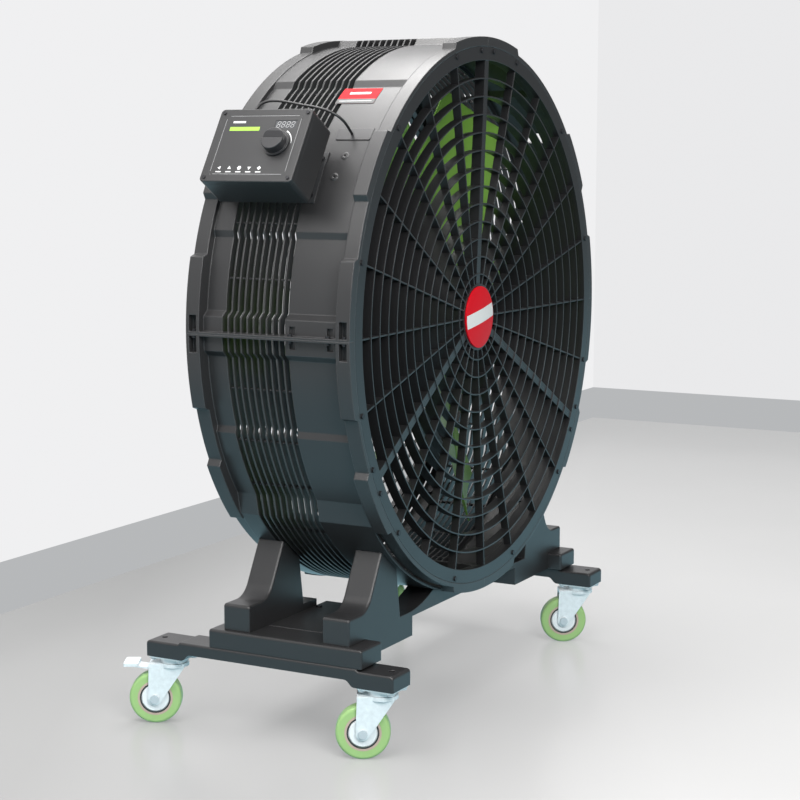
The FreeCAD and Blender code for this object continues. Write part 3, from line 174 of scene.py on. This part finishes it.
# %% Finish builder
GLOSS_DRIFT = 0.06
GRAIN_DEPTH = 0.0004
BEVEL_SAMPLES = 4


def finish(name, base, rough, metal=0.0, drift=0.12, drift_scale=9.0, grain=0.15, grain_scale=900.0,
           edge=0.0015, highlight_share=0.0, specular=0.5):
    """A procedural material: colour and gloss that drift, a fine grain, and a painted highlight on edges.
    """
    material = bpy.data.materials.new(name)
    material.use_nodes = True
    tree = material.node_tree
    shader = tree.nodes["Principled BSDF"]
    coarse = add_noise(tree, drift_scale, DRIFT_DETAIL)
    fine = add_noise(tree, grain_scale, GRAIN_DETAIL)
    colour = drift_colour(tree, coarse, base, drift)
    link(tree, colour, shader.inputs["Base Color"])
    gloss = tree.nodes.new("ShaderNodeMapRange")
    gloss.inputs["To Min"].default_value = rough - GLOSS_DRIFT
    gloss.inputs["To Max"].default_value = rough + GLOSS_DRIFT
    link(tree, coarse, gloss.inputs["Value"])
    link(tree, gloss.outputs["Result"], shader.inputs["Roughness"])
    bump = tree.nodes.new("ShaderNodeBump")
    bump.inputs["Strength"].default_value = grain
    bump.inputs["Distance"].default_value = GRAIN_DEPTH
    link(tree, fine, bump.inputs["Height"])
    if edge:
        bevel = tree.nodes.new("ShaderNodeBevel")
        bevel.samples = BEVEL_SAMPLES
        bevel.inputs["Radius"].default_value = edge
        link(tree, bevel.outputs["Normal"], bump.inputs["Normal"])
    # Edges are painted paler here, as a painted highlight.
    if edge and highlight_share:
        paint_edge_highlights(tree, bevel, colour, [min(1.0, c * (1 + highlight_share)) for c in base])
    link(tree, bump.outputs["Normal"], shader.inputs["Normal"])
    shader.inputs["Metallic"].default_value = metal
    shader.inputs["Specular IOR Level"].default_value = specular
    return material


print("grain is", GRAIN_DEPTH, "m deep")

# %% [markdown]
# The drum and stand are the same dark grey plastic. Casters are bright zinc with lime green
# polyurethane tyres, and the blades repeat that green. A finish could be given to each node by hand,
# but the record already names a material slot for every node, so a table from slot to finish keeps
# equal pieces alike.

# %% Finishes by material slot
# Each slot has a base colour, a roughness, and what differs from the usual finish.
SLOT_FINISHES = {
    # A share for edges gives a painted highlight: those edges are painted that much paler.
    "drum_moulding": ((0.023, 0.023, 0.024), 0.36, dict(edge=0.003, highlight_share=2.0)),
    "grille_moulding": ((0.014, 0.014, 0.015), 0.34, dict(edge=0.0012, highlight_share=1.5)),
    "stand_moulding": ((0.021, 0.021, 0.022), 0.36, dict(edge=0.0025, highlight_share=2.0)),
    "dark_steel": ((0.030, 0.030, 0.033), 0.38, dict(metal=0.6, edge=0.0004)),
    "red_badge": ((0.62, 0.003, 0.012), 0.42, dict(drift=0.06, grain=0.03, specular=0.15)),
    "blade_green": ((0.165, 0.35, 0.050), 0.42, {}),
    "hub_black": ((0.020, 0.020, 0.022), 0.45, {}),
    "motor_casting": ((0.16, 0.165, 0.17), 0.50, dict(metal=0.8, drift=0.2, drift_scale=40.0)),
    "bright_steel": ((0.56, 0.59, 0.61), 0.34, dict(metal=0.4, grain_scale=400.0, edge=0.0004)),
    "zinc_plate": ((0.74, 0.79, 0.81), 0.40,
                   dict(metal=0.25, drift=0.16, drift_scale=120.0, edge=0.0006)),
    "zinc_core": ((0.78, 0.82, 0.84), 0.42,
                  dict(metal=0.1, drift=0.08, drift_scale=90.0, edge=0.0006)),
    "green_tyre": ((0.31, 0.51, 0.195), 0.46, dict(drift=0.08, drift_scale=30.0)),
    "box_grey": ((0.020, 0.020, 0.021), 0.40, {}),
    "bracket_paint": ((0.030, 0.031, 0.033), 0.45, {}),
    "panel_print": ((0.022, 0.022, 0.023), 0.38, dict(drift=0.08, edge=0.0004)),
    "display_glass": ((0.060, 0.062, 0.066), 0.16, dict(drift=0.05, grain=0.02, edge=0.0003)),
    "knob_black": ((0.020, 0.020, 0.022), 0.36, {}),
    "lead_black": ((0.012, 0.012, 0.013), 0.45, dict(edge=0.0)),
    "board_green": ((0.02, 0.13, 0.05), 0.45, dict(drift=0.3, drift_scale=160.0)),
}
finishes = {slot: finish(slot, base, rough, **more)
            for slot, (base, rough, more) in SLOT_FINISHES.items()}
for row in frame["record"]["subparts"]:
    node = nodes[row["node"]]
    if not node.data.materials:
        node.data.materials.append(finishes[row["material_slot"]])
    for place in node.material_slots:
        place.material = finishes[row["material_slot"]]
print("finishes:", len(finishes))

# %% [markdown]
# The motor's lead leaves the control box by a gland at the top, lies along the drum's shoulder and dips
# into the drum through the rubber plug in the grip slot. A simulated hair or rope could hang there, but
# a lead this short keeps the bend it was laid in. A NURBS curve with a round bevel follows the same
# chosen points as the frame's tube, so the curve stands for that tube.

# %% Motor lead
LEAD_DIAMETER = 0.005
LEAD_ROUTE = (
    (0.588, 0.0895, 0.060), (0.588, 0.106, 0.059), (0.587, 0.119, 0.048), (0.586, 0.123, 0.026),
    (0.584, 0.120, -0.002), (0.582, 0.115, -0.031), (0.580, 0.111, -0.062), (0.575, 0.1075, -0.084),
    (0.563, 0.104, -0.100), (0.548, 0.101, -0.107), (0.533, 0.098, -0.109), (0.509, 0.0934, -0.110),
)
CORD_BEVEL = 4
CORD_ORDER = 3
CORD_STEPS = 12


def nurbs_cord(name, points, diameter, material):
    """A round cord on a smooth spline whose control points are the route's points."""
    curve = bpy.data.curves.new(name, "CURVE")
    curve.dimensions = "3D"
    curve.bevel_depth = diameter / 2
    curve.bevel_resolution = CORD_BEVEL
    curve.use_fill_caps = True
    spline = curve.splines.new("NURBS")
    spline.points.add(len(points) - 1)
    for control, point in zip(spline.points, points):
        control.co = (*point, 1.0)
    spline.order_u = CORD_ORDER
    spline.use_endpoint_u = True
    spline.resolution_u = CORD_STEPS
    curve.materials.append(material)
    cord = bpy.data.objects.new(name, curve)
    bpy.context.scene.collection.objects.link(cord)
    return cord


lead_points = [at_box(radius, up, y) for radius, up, y in LEAD_ROUTE]
lead = nurbs_cord("motor_lead_sheath", lead_points, LEAD_DIAMETER, finishes["lead_black"])
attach(lead, "stand_and_drum")
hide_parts("motor_lead")

# %% [markdown]
# The panel's marks are printed ink a few hundredths of a millimetre thick, and a grey line among them is
# a painted highlight along the panel's edge. They could be masks in the panel's material, but each mark
# would need its own chain of nodes. Thin flat shapes just above the panel are easier to place and to
# change, and three inks are enough for all of them.

# %% Inks and helpers for print and painted highlight
MM = 0.001
MARK_LIFT = 0.0002
INK = dict(drift=0.05, grain=0.02, edge=0.0)
ink_white = finish("ink_white", (0.62, 0.63, 0.63), 0.5, **INK)
ink_green = finish("ink_green", (0.27, 0.47, 0.05), 0.5, **INK)
# The grey ink also draws the painted highlight along the panel's edge.
grey_ink_and_highlight = finish("grey_ink_and_highlight", (0.30, 0.305, 0.31), 0.4, **INK)


def print_and_highlight_marks(name, outlines, material, lift=MARK_LIFT):
    """Flat shapes of ink and painted highlight, each an outline of (y, up) points in millimetres on the
    panel.
    """
    points = []
    faces = []
    for outline in outlines:
        first = len(points)
        points += [at_box(BOX_FRONT_R + lift, up * MM, y * MM) for y, up in outline]
        faces.append(list(range(first, first + len(outline))))
    add_mesh(name, points, faces, material, "stand_and_drum")


def bar(y, up, width, height, lean=0.0):
    """A bar round a middle point, whose top may lean to one side."""
    half_w = width / 2
    half_h = height / 2
    return [(y - half_w - lean, up - half_h), (y + half_w - lean, up - half_h),
            (y + half_w + lean, up + half_h), (y - half_w + lean, up + half_h)]


def regular(y, up, radius, sides, turn):
    """A regular polygon round a middle point, with one corner at the turn's angle."""
    angles = [math.radians(turn + 360 * k / sides) for k in range(sides)]
    return [(y + radius * math.cos(a), up + radius * math.sin(a)) for a in angles]


print("inks: white, green and grey")

# %% [markdown]
# A pale bar and a green bar head the panel, and five simple icons stand in a row below, each over a
# short bar. They could be drawn as filled curves, but each is only a bar or a regular polygon, and one
# face with exact corners is all it needs.

# %% Icons and bars
ICON_ROW_UP = -47.0
ICON_R = 4.2
ICON_PLACES = (60.0, 39.5, 19.0, -1.5, -22.0)
ICON_SIDES = ((3, 0), (3, 90), (6, 0), (3, 270), (4, 90))
ICON_BAR_UP = ICON_ROW_UP - 8.0
ICON_BAR_SIZE = (11.0, 2.0)
PALE_BAR = (49.0, 47.0, 26.0, 4.0)
GREEN_BAR = (34.0, 33.0, 62.0, 8.0)
icons = [regular(y, ICON_ROW_UP, ICON_R, *shape) for y, shape in zip(ICON_PLACES, ICON_SIDES)]
icon_bars = [bar(y, ICON_BAR_UP, *ICON_BAR_SIZE) for y in ICON_PLACES]
print_and_highlight_marks("panel_icons", icons + icon_bars + [bar(*PALE_BAR)], ink_white)
print_and_highlight_marks("panel_green_bar", [bar(*GREEN_BAR)], ink_green)

# %% [markdown]
# A fine grey line runs inside the panel's edge and leaves its corners open, a painted highlight of that
# edge. A frame could be cut out of two rectangles, but it would have to be opened at the corners again,
# so four thin bars are used.

# %% Painted edge highlight
EDGE_Y = 77.0
EDGE_UP = 59.5
EDGE_CORNER = 6.0
EDGE_LINE = 0.7
# Four bars of painted highlight along the panel's edge.
edge_highlight_lines = [bar(0, side * EDGE_UP, 2 * (EDGE_Y - EDGE_CORNER), EDGE_LINE) for side in (-1, 1)]
edge_highlight_lines += [bar(side * EDGE_Y, 0, EDGE_LINE, 2 * (EDGE_UP - EDGE_CORNER)) for side in (-1, 1)]
print_and_highlight_marks("panel_edge_highlight_lines", edge_highlight_lines, grey_ink_and_highlight)

# %% [markdown]
# Beside the knob a white scale grows wider along its arc, to tell which way the speed rises. An arc of
# even width would be simpler, but it would lose that meaning. So small faces follow the arc, and each
# is a little wider than the one before.

# %% Knob scale
KNOB_Y = -42.5
KNOB_UP = 2.0
SCALE_R = 27.5
SCALE_WIDTH = (0.7, 2.5)
SCALE_START_DEG = 178
SCALE_SWEEP_DEG = 62
SCALE_STEPS = 12


def scale_edge(step):
    """The inner and outer point of the scale's widening arc at one step."""
    angle = math.radians(SCALE_START_DEG - SCALE_SWEEP_DEG * step / SCALE_STEPS)
    width = SCALE_WIDTH[0] + (SCALE_WIDTH[1] - SCALE_WIDTH[0]) * step / SCALE_STEPS
    radii = (SCALE_R, SCALE_R + width)
    return [(KNOB_Y + r * math.cos(angle), KNOB_UP + r * math.sin(angle)) for r in radii]


edges = [scale_edge(step) for step in range(SCALE_STEPS + 1)]
print_and_highlight_marks("knob_scale", [here + ahead[::-1] for here, ahead in zip(edges, edges[1:])], ink_white)

# %% [markdown]
# The display shows four digits of seven grey segments each. They could be a text object, but the
# segments of such a display are straight bars with a lean, so bars are closer to it and need no font.
# They lie on the window, which is sunk a little into the panel.

# %% Display digits
DIGIT_COUNT = 4
DIGIT_PITCH = 9.5
DIGIT_MIDDLE = (-48.0, 42.0)
DIGIT_LEAN_SHARE = 0.15
STROKE = 1.1
STROKE_LEAN = -0.3
FLAT_LENGTH = 4.6
FLAT_STEPS = (-5.5, 0.0, 5.5)
UPRIGHT_LENGTH = 4.2
UPRIGHT_Y = 2.9
UPRIGHT_STEPS = (-2.8, 2.8)
DIGIT_SET = -0.0005
digits = []
for k in range(DIGIT_COUNT):
    middle = DIGIT_MIDDLE[0] + (k - (DIGIT_COUNT - 1) / 2) * DIGIT_PITCH
    for step in FLAT_STEPS:
        digits.append(bar(middle - step * DIGIT_LEAN_SHARE, DIGIT_MIDDLE[1] + step, FLAT_LENGTH, STROKE))
    for side in (-UPRIGHT_Y, UPRIGHT_Y):
        for step in UPRIGHT_STEPS:
            y = middle + side - step * DIGIT_LEAN_SHARE
            digits.append(bar(y, DIGIT_MIDDLE[1] + step, STROKE, UPRIGHT_LENGTH, STROKE_LEAN))
print_and_highlight_marks("display_digits", digits, grey_ink_and_highlight, lift=DIGIT_SET)

# %% [markdown]
# The hub cap is a red dome with a white band across it. A flat strip would cut into the dome or float
# above it, and a projected one would need the dome's mesh. The band is worked out from the dome's ball
# instead, so every point of it lies a hair above the cap.

# %% Badge band
CAP_R = 0.061
CAP_DOME = 0.004
BAND_TILT_DEG = 10.0
BAND_LOW = -0.011
BAND_HIGH = 0.016
BAND_INSET = 0.002
BAND_LIFT = 0.0003
BAND_COLUMNS = 24
BAND_ROWS = 4
badge_white = finish("badge_white", (0.72, 0.72, 0.71), 0.35, drift=0.04, grain=0.02, edge=0.0)
cap_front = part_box("hub_cap")[0][1]
ball_r = (CAP_R ** 2 + CAP_DOME ** 2) / (2 * CAP_DOME)


def on_cap(x, z):
    """A point on the hub cap's dome, for a place on the cap turned by the band's tilt."""
    tilt = math.radians(BAND_TILT_DEG)
    depth = ball_r - math.sqrt(ball_r ** 2 - x * x - z * z)
    return Vector((x * math.cos(tilt) - z * math.sin(tilt), cap_front + depth - BAND_LIFT,
                   AXIS_HEIGHT + x * math.sin(tilt) + z * math.cos(tilt)))


band_points = []
for row in range(BAND_ROWS + 1):
    z = BAND_LOW + (BAND_HIGH - BAND_LOW) * row / BAND_ROWS
    half = math.sqrt((CAP_R - BAND_INSET) ** 2 - z * z)
    band_points += [on_cap(-half + 2 * half * k / BAND_COLUMNS, z) for k in range(BAND_COLUMNS + 1)]
stride = BAND_COLUMNS + 1
band_faces = [(r * stride + k, r * stride + k + 1, (r + 1) * stride + k + 1, (r + 1) * stride + k)
              for r in range(BAND_ROWS) for k in range(BAND_COLUMNS)]
add_mesh("badge_band", band_points, band_faces, badge_white, "stand_and_drum")

# %% [markdown]
# Above the control box the drum carries a small red plate with a pale bar, and a dark foot with a fine
# line. On the real drum it is a thin sticker that bends with the shoulder. A flat plate would stand off
# at its ends, so each layer is a patch of the shoulder's own cylinder, lifted a little more than the
# layer below it.

# %% Drum plate
FRONT_PLANE = -0.213
SHOULDER_R = 0.525
PLATE_DEG = (123.2, 128.4)
PLATE_Y = (FRONT_PLANE + 0.074, FRONT_PLANE + 0.154)
PLATE_LIFTS = (0.0006, 0.0008, 0.0010)
PLATE_STEPS = 8
FOOT_DEG = (126.9, PLATE_DEG[1])
BAR_DEG = (124.6, 125.3)
BAR_INSET = 0.018
LINE_DEG = (127.5, 127.8)
LINE_INSET = 0.006


def around_axis(radius, degrees, y):
    """A point at a radius from the fan's axis, turned up from the right-hand side."""
    angle = math.radians(degrees)
    return Vector((radius * math.cos(angle), y, AXIS_HEIGHT + radius * math.sin(angle)))


def drum_patch(name, degrees, inset, lift, material):
    """A patch of the drum's shoulder between two angles, as wide as the plate less an inset."""
    points = []
    for y in (PLATE_Y[0] + inset, PLATE_Y[1] - inset):
        for k in range(PLATE_STEPS + 1):
            angle = degrees[0] + (degrees[1] - degrees[0]) * k / PLATE_STEPS
            points.append(around_axis(SHOULDER_R + lift, angle, y))
    next_row = PLATE_STEPS + 1
    faces = [(k, k + 1, next_row + k + 1, next_row + k) for k in range(PLATE_STEPS)]
    add_mesh(name, points, faces, material, "stand_and_drum")


plate_red = finish("plate_red", (0.44, 0.016, 0.022), 0.62, drift=0.06, grain=0.03, specular=0.1)
drum_patch("drum_plate", PLATE_DEG, 0, PLATE_LIFTS[0], plate_red)
drum_patch("drum_plate_foot", FOOT_DEG, 0, PLATE_LIFTS[1], finishes["panel_print"])
drum_patch("drum_plate_bar", BAR_DEG, BAR_INSET, PLATE_LIFTS[1], badge_white)
drum_patch("drum_plate_line", LINE_DEG, LINE_INSET, PLATE_LIFTS[2], grey_ink_and_highlight)

# %% [markdown]
# Round the zinc cap of each caster wheel a thin black dust seal shows, and outside it the tan bead on
# which the green tyre was cast. Turned solids would do, but both are flat rings that only show their
# faces, so a ring of faces on each side of the wheel is enough. The rings ride on the wheel, so they
# turn with it.

# %% Wheel seals and beads
CASTER_TURN_DEG = 28.0
SEAL_RADII = (0.0268, 0.0296)
BEAD_RADII = (0.0296, 0.0338)
RING_SET = 0.0163
RING_STEPS = 48
bead_tan = finish("bead_tan", (0.46, 0.36, 0.30), 0.5, drift=0.08, drift_scale=60.0, edge=0.0)
caster_turn = Matrix.Rotation(math.radians(CASTER_TURN_DEG), 3, "Z")


def wheel_ring(name, place, radii, material):
    """A flat ring on both sides of a caster wheel."""
    low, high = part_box("tyre_" + place)
    centre = (Vector(low) + Vector(high)) / 2
    points = []
    for k in range(RING_STEPS):
        angle = 2 * math.pi * k / RING_STEPS
        for side in (-RING_SET, RING_SET):
            for radius in radii:
                spot = Vector((side, radius * math.cos(angle), radius * math.sin(angle)))
                points.append(centre + caster_turn @ spot)
    per_step = 2 * len(radii)
    faces = []
    for k in range(RING_STEPS):
        here = per_step * k
        ahead = per_step * ((k + 1) % RING_STEPS)
        faces += [(here, here + 1, ahead + 1, ahead), (here + 2, ahead + 2, ahead + 3, here + 3)]
    add_mesh(name + "_" + place, points, faces, material, "wheel_" + place)


for place in ("front_right", "front_left", "rear_right", "rear_left"):
    wheel_ring("wheel_seal", place, SEAL_RADII, finishes["knob_black"])
    wheel_ring("wheel_bead", place, BEAD_RADII, bead_tan)

# %% [markdown]
# The fan stands in the corner of a pale room with a polished floor and a grey skirting. A closed room
# would hide the fan from behind, and real white paint would throw more light on it than a studio does.
# So the walls are plain planes that show a pale colour to the eye and in reflections, throw little
# light back, and are clear from their outer side.

# %% Wall paint
WALL_ROUGHNESS = 0.8
WALL_BOUNCE = (0.3, 0.3, 0.3)
SKIRTING_BOUNCE = (0.2, 0.2, 0.2)


def wall_finish(name, shown, bounce):
    """Paint of a shown colour to the eye, which throws little light back. Clear from behind."""
    material = finish(name, bounce, WALL_ROUGHNESS, drift=0.02, drift_scale=1.5, grain=0.02, edge=0.0)
    tree = material.node_tree
    paint = tree.nodes["Principled BSDF"]
    glow = tree.nodes.new("ShaderNodeEmission")
    glow.inputs["Color"].default_value = (*shown, 1.0)
    path = tree.nodes.new("ShaderNodeLightPath")
    seen = tree.nodes.new("ShaderNodeMath")
    seen.operation = "MAXIMUM"
    link(tree, path.outputs["Is Camera Ray"], seen.inputs[0])
    link(tree, path.outputs["Is Glossy Ray"], seen.inputs[1])
    face = tree.nodes.new("ShaderNodeMixShader")
    link(tree, seen.outputs["Value"], face.inputs[0])
    link(tree, paint.outputs["BSDF"], face.inputs[1])
    link(tree, glow.outputs["Emission"], face.inputs[2])
    behind = tree.nodes.new("ShaderNodeNewGeometry")
    clear = tree.nodes.new("ShaderNodeBsdfTransparent")
    mix = tree.nodes.new("ShaderNodeMixShader")
    link(tree, behind.outputs["Backfacing"], mix.inputs[0])
    link(tree, face.outputs["Shader"], mix.inputs[1])
    link(tree, clear.outputs["BSDF"], mix.inputs[2])
    link(tree, mix.outputs["Shader"], tree.nodes["Material Output"].inputs["Surface"])
    return material


back_paint = wall_finish("back_paint", (0.87, 0.87, 0.88), WALL_BOUNCE)
side_paint = wall_finish("side_paint", (0.82, 0.82, 0.83), WALL_BOUNCE)
skirting_paint = wall_finish("skirting_paint", (0.47, 0.48, 0.49), SKIRTING_BOUNCE)
print("wall paints made")

# %% [markdown]
# The floor grows a little darker towards the back wall's left end, a painted shade where the light falls
# off. A lamp could be shaded to do that, but it would change the light on the fan too. So the shade is
# painted into the floor's own colour, which falls off along one direction across the room.

# %% Floor's painted shade
# A painted shade: the floor is darker towards the back wall's left end.
FLOOR_SHADE_SLOPE = (0.147, -0.273, 0.0)
SHADE_RANGE = (-0.20, 0.15)
SHADE_LEVELS = (0.60, 0.97)


def shade_floor_colour(tree, colour):
    """The floor's colour with a painted shade, darker towards one corner of the room."""
    spot = tree.nodes.new("ShaderNodeNewGeometry")
    across = tree.nodes.new("ShaderNodeVectorMath")
    across.operation = "DOT_PRODUCT"
    across.inputs[1].default_value = FLOOR_SHADE_SLOPE
    link(tree, spot.outputs["Position"], across.inputs[0])
    level = tree.nodes.new("ShaderNodeMapRange")
    level.inputs["From Min"].default_value, level.inputs["From Max"].default_value = SHADE_RANGE
    level.inputs["To Min"].default_value, level.inputs["To Max"].default_value = SHADE_LEVELS
    link(tree, across.outputs["Value"], level.inputs["Value"])
    shaded = tree.nodes.new("ShaderNodeVectorMath")
    shaded.operation = "SCALE"
    link(tree, colour, shaded.inputs[0])
    link(tree, level.outputs["Result"], shaded.inputs["Scale"])
    return shaded.outputs["Vector"]


print("floor fades from", SHADE_LEVELS[1], "to", SHADE_LEVELS[0])

# %% [markdown]
# The floor is polished grey paint with a soft shadow under the fan, and the fan's lower faces mirror it
# in green-blue. A plain glossy paint would give all this only with a lit room round it. Half paint and
# half glow keeps the shadow soft, and the light path tells the eye's view from a reflection.

# %% Floor paint
FLOOR_SHOWN = (0.69, 0.69, 0.69)
FLOOR_MIRRORED = (0.50, 0.86, 1.0)
FLOOR_BOUNCE = (0.22, 0.30, 0.32)
FLOOR_ROUGHNESS = 0.22
SHADOW_LIFT = 0.5


def floor_paint(shown, mirrored, bounce):
    """Polished paint: pale to the eye, green-blue in reflections, and dull as a source of bounce."""
    material = finish("floor_paint", shown, FLOOR_ROUGHNESS, drift=0.03, drift_scale=1.2, grain=0.02,
                      edge=0.0)
    tree = material.node_tree
    paint = tree.nodes["Principled BSDF"]
    # The floor's colour gets the painted shade here.
    shaded = shade_floor_colour(tree, paint.inputs["Base Color"].links[0].from_socket)
    path = tree.nodes.new("ShaderNodeLightPath")
    lit = tree.nodes.new("ShaderNodeMix")
    lit.data_type = "RGBA"
    lit.inputs["A"].default_value = (*bounce, 1.0)
    link(tree, path.outputs["Is Camera Ray"], lit.inputs["Factor"])
    link(tree, shaded, lit.inputs["B"])
    link(tree, lit.outputs["Result"], paint.inputs["Base Color"])
    glow_colour = tree.nodes.new("ShaderNodeMix")
    glow_colour.data_type = "RGBA"
    glow_colour.inputs["A"].default_value = (*mirrored, 1.0)
    link(tree, shaded, glow_colour.inputs["B"])
    link(tree, path.outputs["Is Camera Ray"], glow_colour.inputs["Factor"])
    glow = tree.nodes.new("ShaderNodeEmission")
    link(tree, glow_colour.outputs["Result"], glow.inputs["Color"])
    soften = tree.nodes.new("ShaderNodeMath")
    soften.operation = "MULTIPLY_ADD"
    soften.inputs[1].default_value = SHADOW_LIFT
    link(tree, path.outputs["Is Camera Ray"], soften.inputs[0])
    link(tree, path.outputs["Is Glossy Ray"], soften.inputs[2])
    mix = tree.nodes.new("ShaderNodeMixShader")
    link(tree, soften.outputs["Value"], mix.inputs[0])
    link(tree, paint.outputs["BSDF"], mix.inputs[1])
    link(tree, glow.outputs["Emission"], mix.inputs[2])
    link(tree, mix.outputs["Shader"], tree.nodes["Material Output"].inputs["Surface"])
    return material


floor_finish = floor_paint(FLOOR_SHOWN, FLOOR_MIRRORED, FLOOR_BOUNCE)
print("floor paint made")

# %% [markdown]
# The room is a floor, two walls and a skirting along each wall. A box turned inside out would do, but
# separate planes can stop short and leave the view free from other sides.

# %% Floor, walls and skirting
BACK_WALL_Y = 1.067
SIDE_WALL_X = 3.70
SIDE_WALL_END = -0.30
ROOM_REACH = 8.0
WALL_HEIGHT = 4.0
SKIRTING = 0.125


def plane(name, corners, material):
    """A flat piece of the room, which is no part of the fan."""
    mesh = bpy.data.meshes.new(name)
    mesh.from_pydata(corners, [], [(0, 1, 2, 3)])
    mesh.materials.append(material)
    piece = bpy.data.objects.new(name, mesh)
    bpy.context.scene.collection.objects.link(piece)
    print("staged", name)


def upright(name, ends, low, high, material):
    """A standing piece of the room between two ends, from one height to another."""
    (x0, y0), (x1, y1) = ends
    plane(name, [(x0, y0, low), (x1, y1, low), (x1, y1, high), (x0, y0, high)], material)


far = -ROOM_REACH
back_ends = ((far, BACK_WALL_Y), (SIDE_WALL_X, BACK_WALL_Y))
side_ends = ((SIDE_WALL_X, BACK_WALL_Y), (SIDE_WALL_X, SIDE_WALL_END))
plane("room_floor", [(far, far, 0), (-far, far, 0), (-far, -far, 0), (far, -far, 0)], floor_finish)
upright("back_wall", back_ends, SKIRTING, WALL_HEIGHT, back_paint)
upright("side_wall", side_ends, SKIRTING, WALL_HEIGHT, side_paint)
upright("back_skirting", back_ends, 0.0, SKIRTING, skirting_paint)
upright("side_skirting", side_ends, 0.0, SKIRTING, skirting_paint)

# %% [markdown]
# The fan is lit from high on the viewer's left and from above, so its upper left shoulder is the
# brightest. One small lamp would throw hard shadows of the control box, and a bright world alone would
# flatten the drum. Three broad soft lamps keep the steps of the drum readable at a plain level of light.

# %% Lamps
# Each lamp has a place, a point it looks at, a width in metres and a power in watts.
LAMPS = {
    "high_lamp": ((-1.7, 0.25, 3.0), (-0.2, 0, 0.9), 3.0, 130.0),
    "top_lamp": ((0.3, 0.6, 3.1), (-0.1, 0, 0.9), 1.8, 95.0),
    "front_lamp": ((-2.8, -3.1, 2.8), (0, 0, 0.6), 2.0, 180.0),
}
LAMP_COLOUR = (1.0, 0.99, 0.98)


def area_lamp(name, place, aim, size, power):
    """A square lamp of a nearly white light, turned to look at a point."""
    lamp = bpy.data.lights.new(name, "AREA")
    lamp.shape = "SQUARE"
    lamp.size = size
    lamp.energy = power
    lamp.color = LAMP_COLOUR
    holder = bpy.data.objects.new(name, lamp)
    holder.location = place
    holder.rotation_euler = (Vector(aim) - Vector(place)).to_track_quat("-Z", "Y").to_euler()
    bpy.context.scene.collection.objects.link(holder)
    print(name, power, "W")


for name, (place, aim, size, power) in LAMPS.items():
    area_lamp(name, place, aim, size, power)

# %% [markdown]
# Past the walls the open world shows. A bright world would wash out the dark plastic, and a dim one
# would look like night from the open side of the room. So it is weak as a light and pale to the eye.

# %% World
WORLD_LIGHT = 0.25
WORLD_SHOWN = 0.85
WORLD_COLOUR = (0.97, 0.98, 1.0, 1.0)
world = bpy.data.worlds.new("pale_room")
world.use_nodes = True
sky = world.node_tree.nodes["Background"]
sky.inputs["Color"].default_value = WORLD_COLOUR
sky_path = world.node_tree.nodes.new("ShaderNodeLightPath")
sky_level = world.node_tree.nodes.new("ShaderNodeMapRange")
sky_level.inputs["To Min"].default_value = WORLD_LIGHT
sky_level.inputs["To Max"].default_value = WORLD_SHOWN
link(world.node_tree, sky_path.outputs["Is Camera Ray"], sky_level.inputs["Value"])
link(world.node_tree, sky_level.outputs["Result"], sky.inputs["Strength"])
bpy.context.scene.world = world
bpy.context.scene.view_settings.view_transform = "Standard"
print("world gives", WORLD_LIGHT, "and shows", WORLD_SHOWN)

# %% [markdown]
# The camera repeats the photo's viewpoint, about a metre up and well to the left of the grille. It could
# be turned by eye until the picture fits, but the round grille, its ring of screws and the wheels fix it
# better, so its place and angles come from solving those.

# %% Camera
CAMERA_PLACE = (-3.290, -1.783, 1.092)
CAMERA_YAW_DEG = 61.803
CAMERA_DIP_DEG = 7.738
SENSOR_MM = 36.0
LENS_MM = 83.2
camera_data = bpy.data.cameras.new("photo_camera")
camera_data.sensor_width = SENSOR_MM
camera_data.lens = LENS_MM
camera = bpy.data.objects.new("photo_camera", camera_data)
camera.location = CAMERA_PLACE
camera.rotation_euler = (math.radians(90 - CAMERA_DIP_DEG), 0, math.radians(-CAMERA_YAW_DEG))
bpy.context.scene.collection.objects.link(camera)
bpy.context.scene.camera = camera
print("camera at", CAMERA_PLACE)
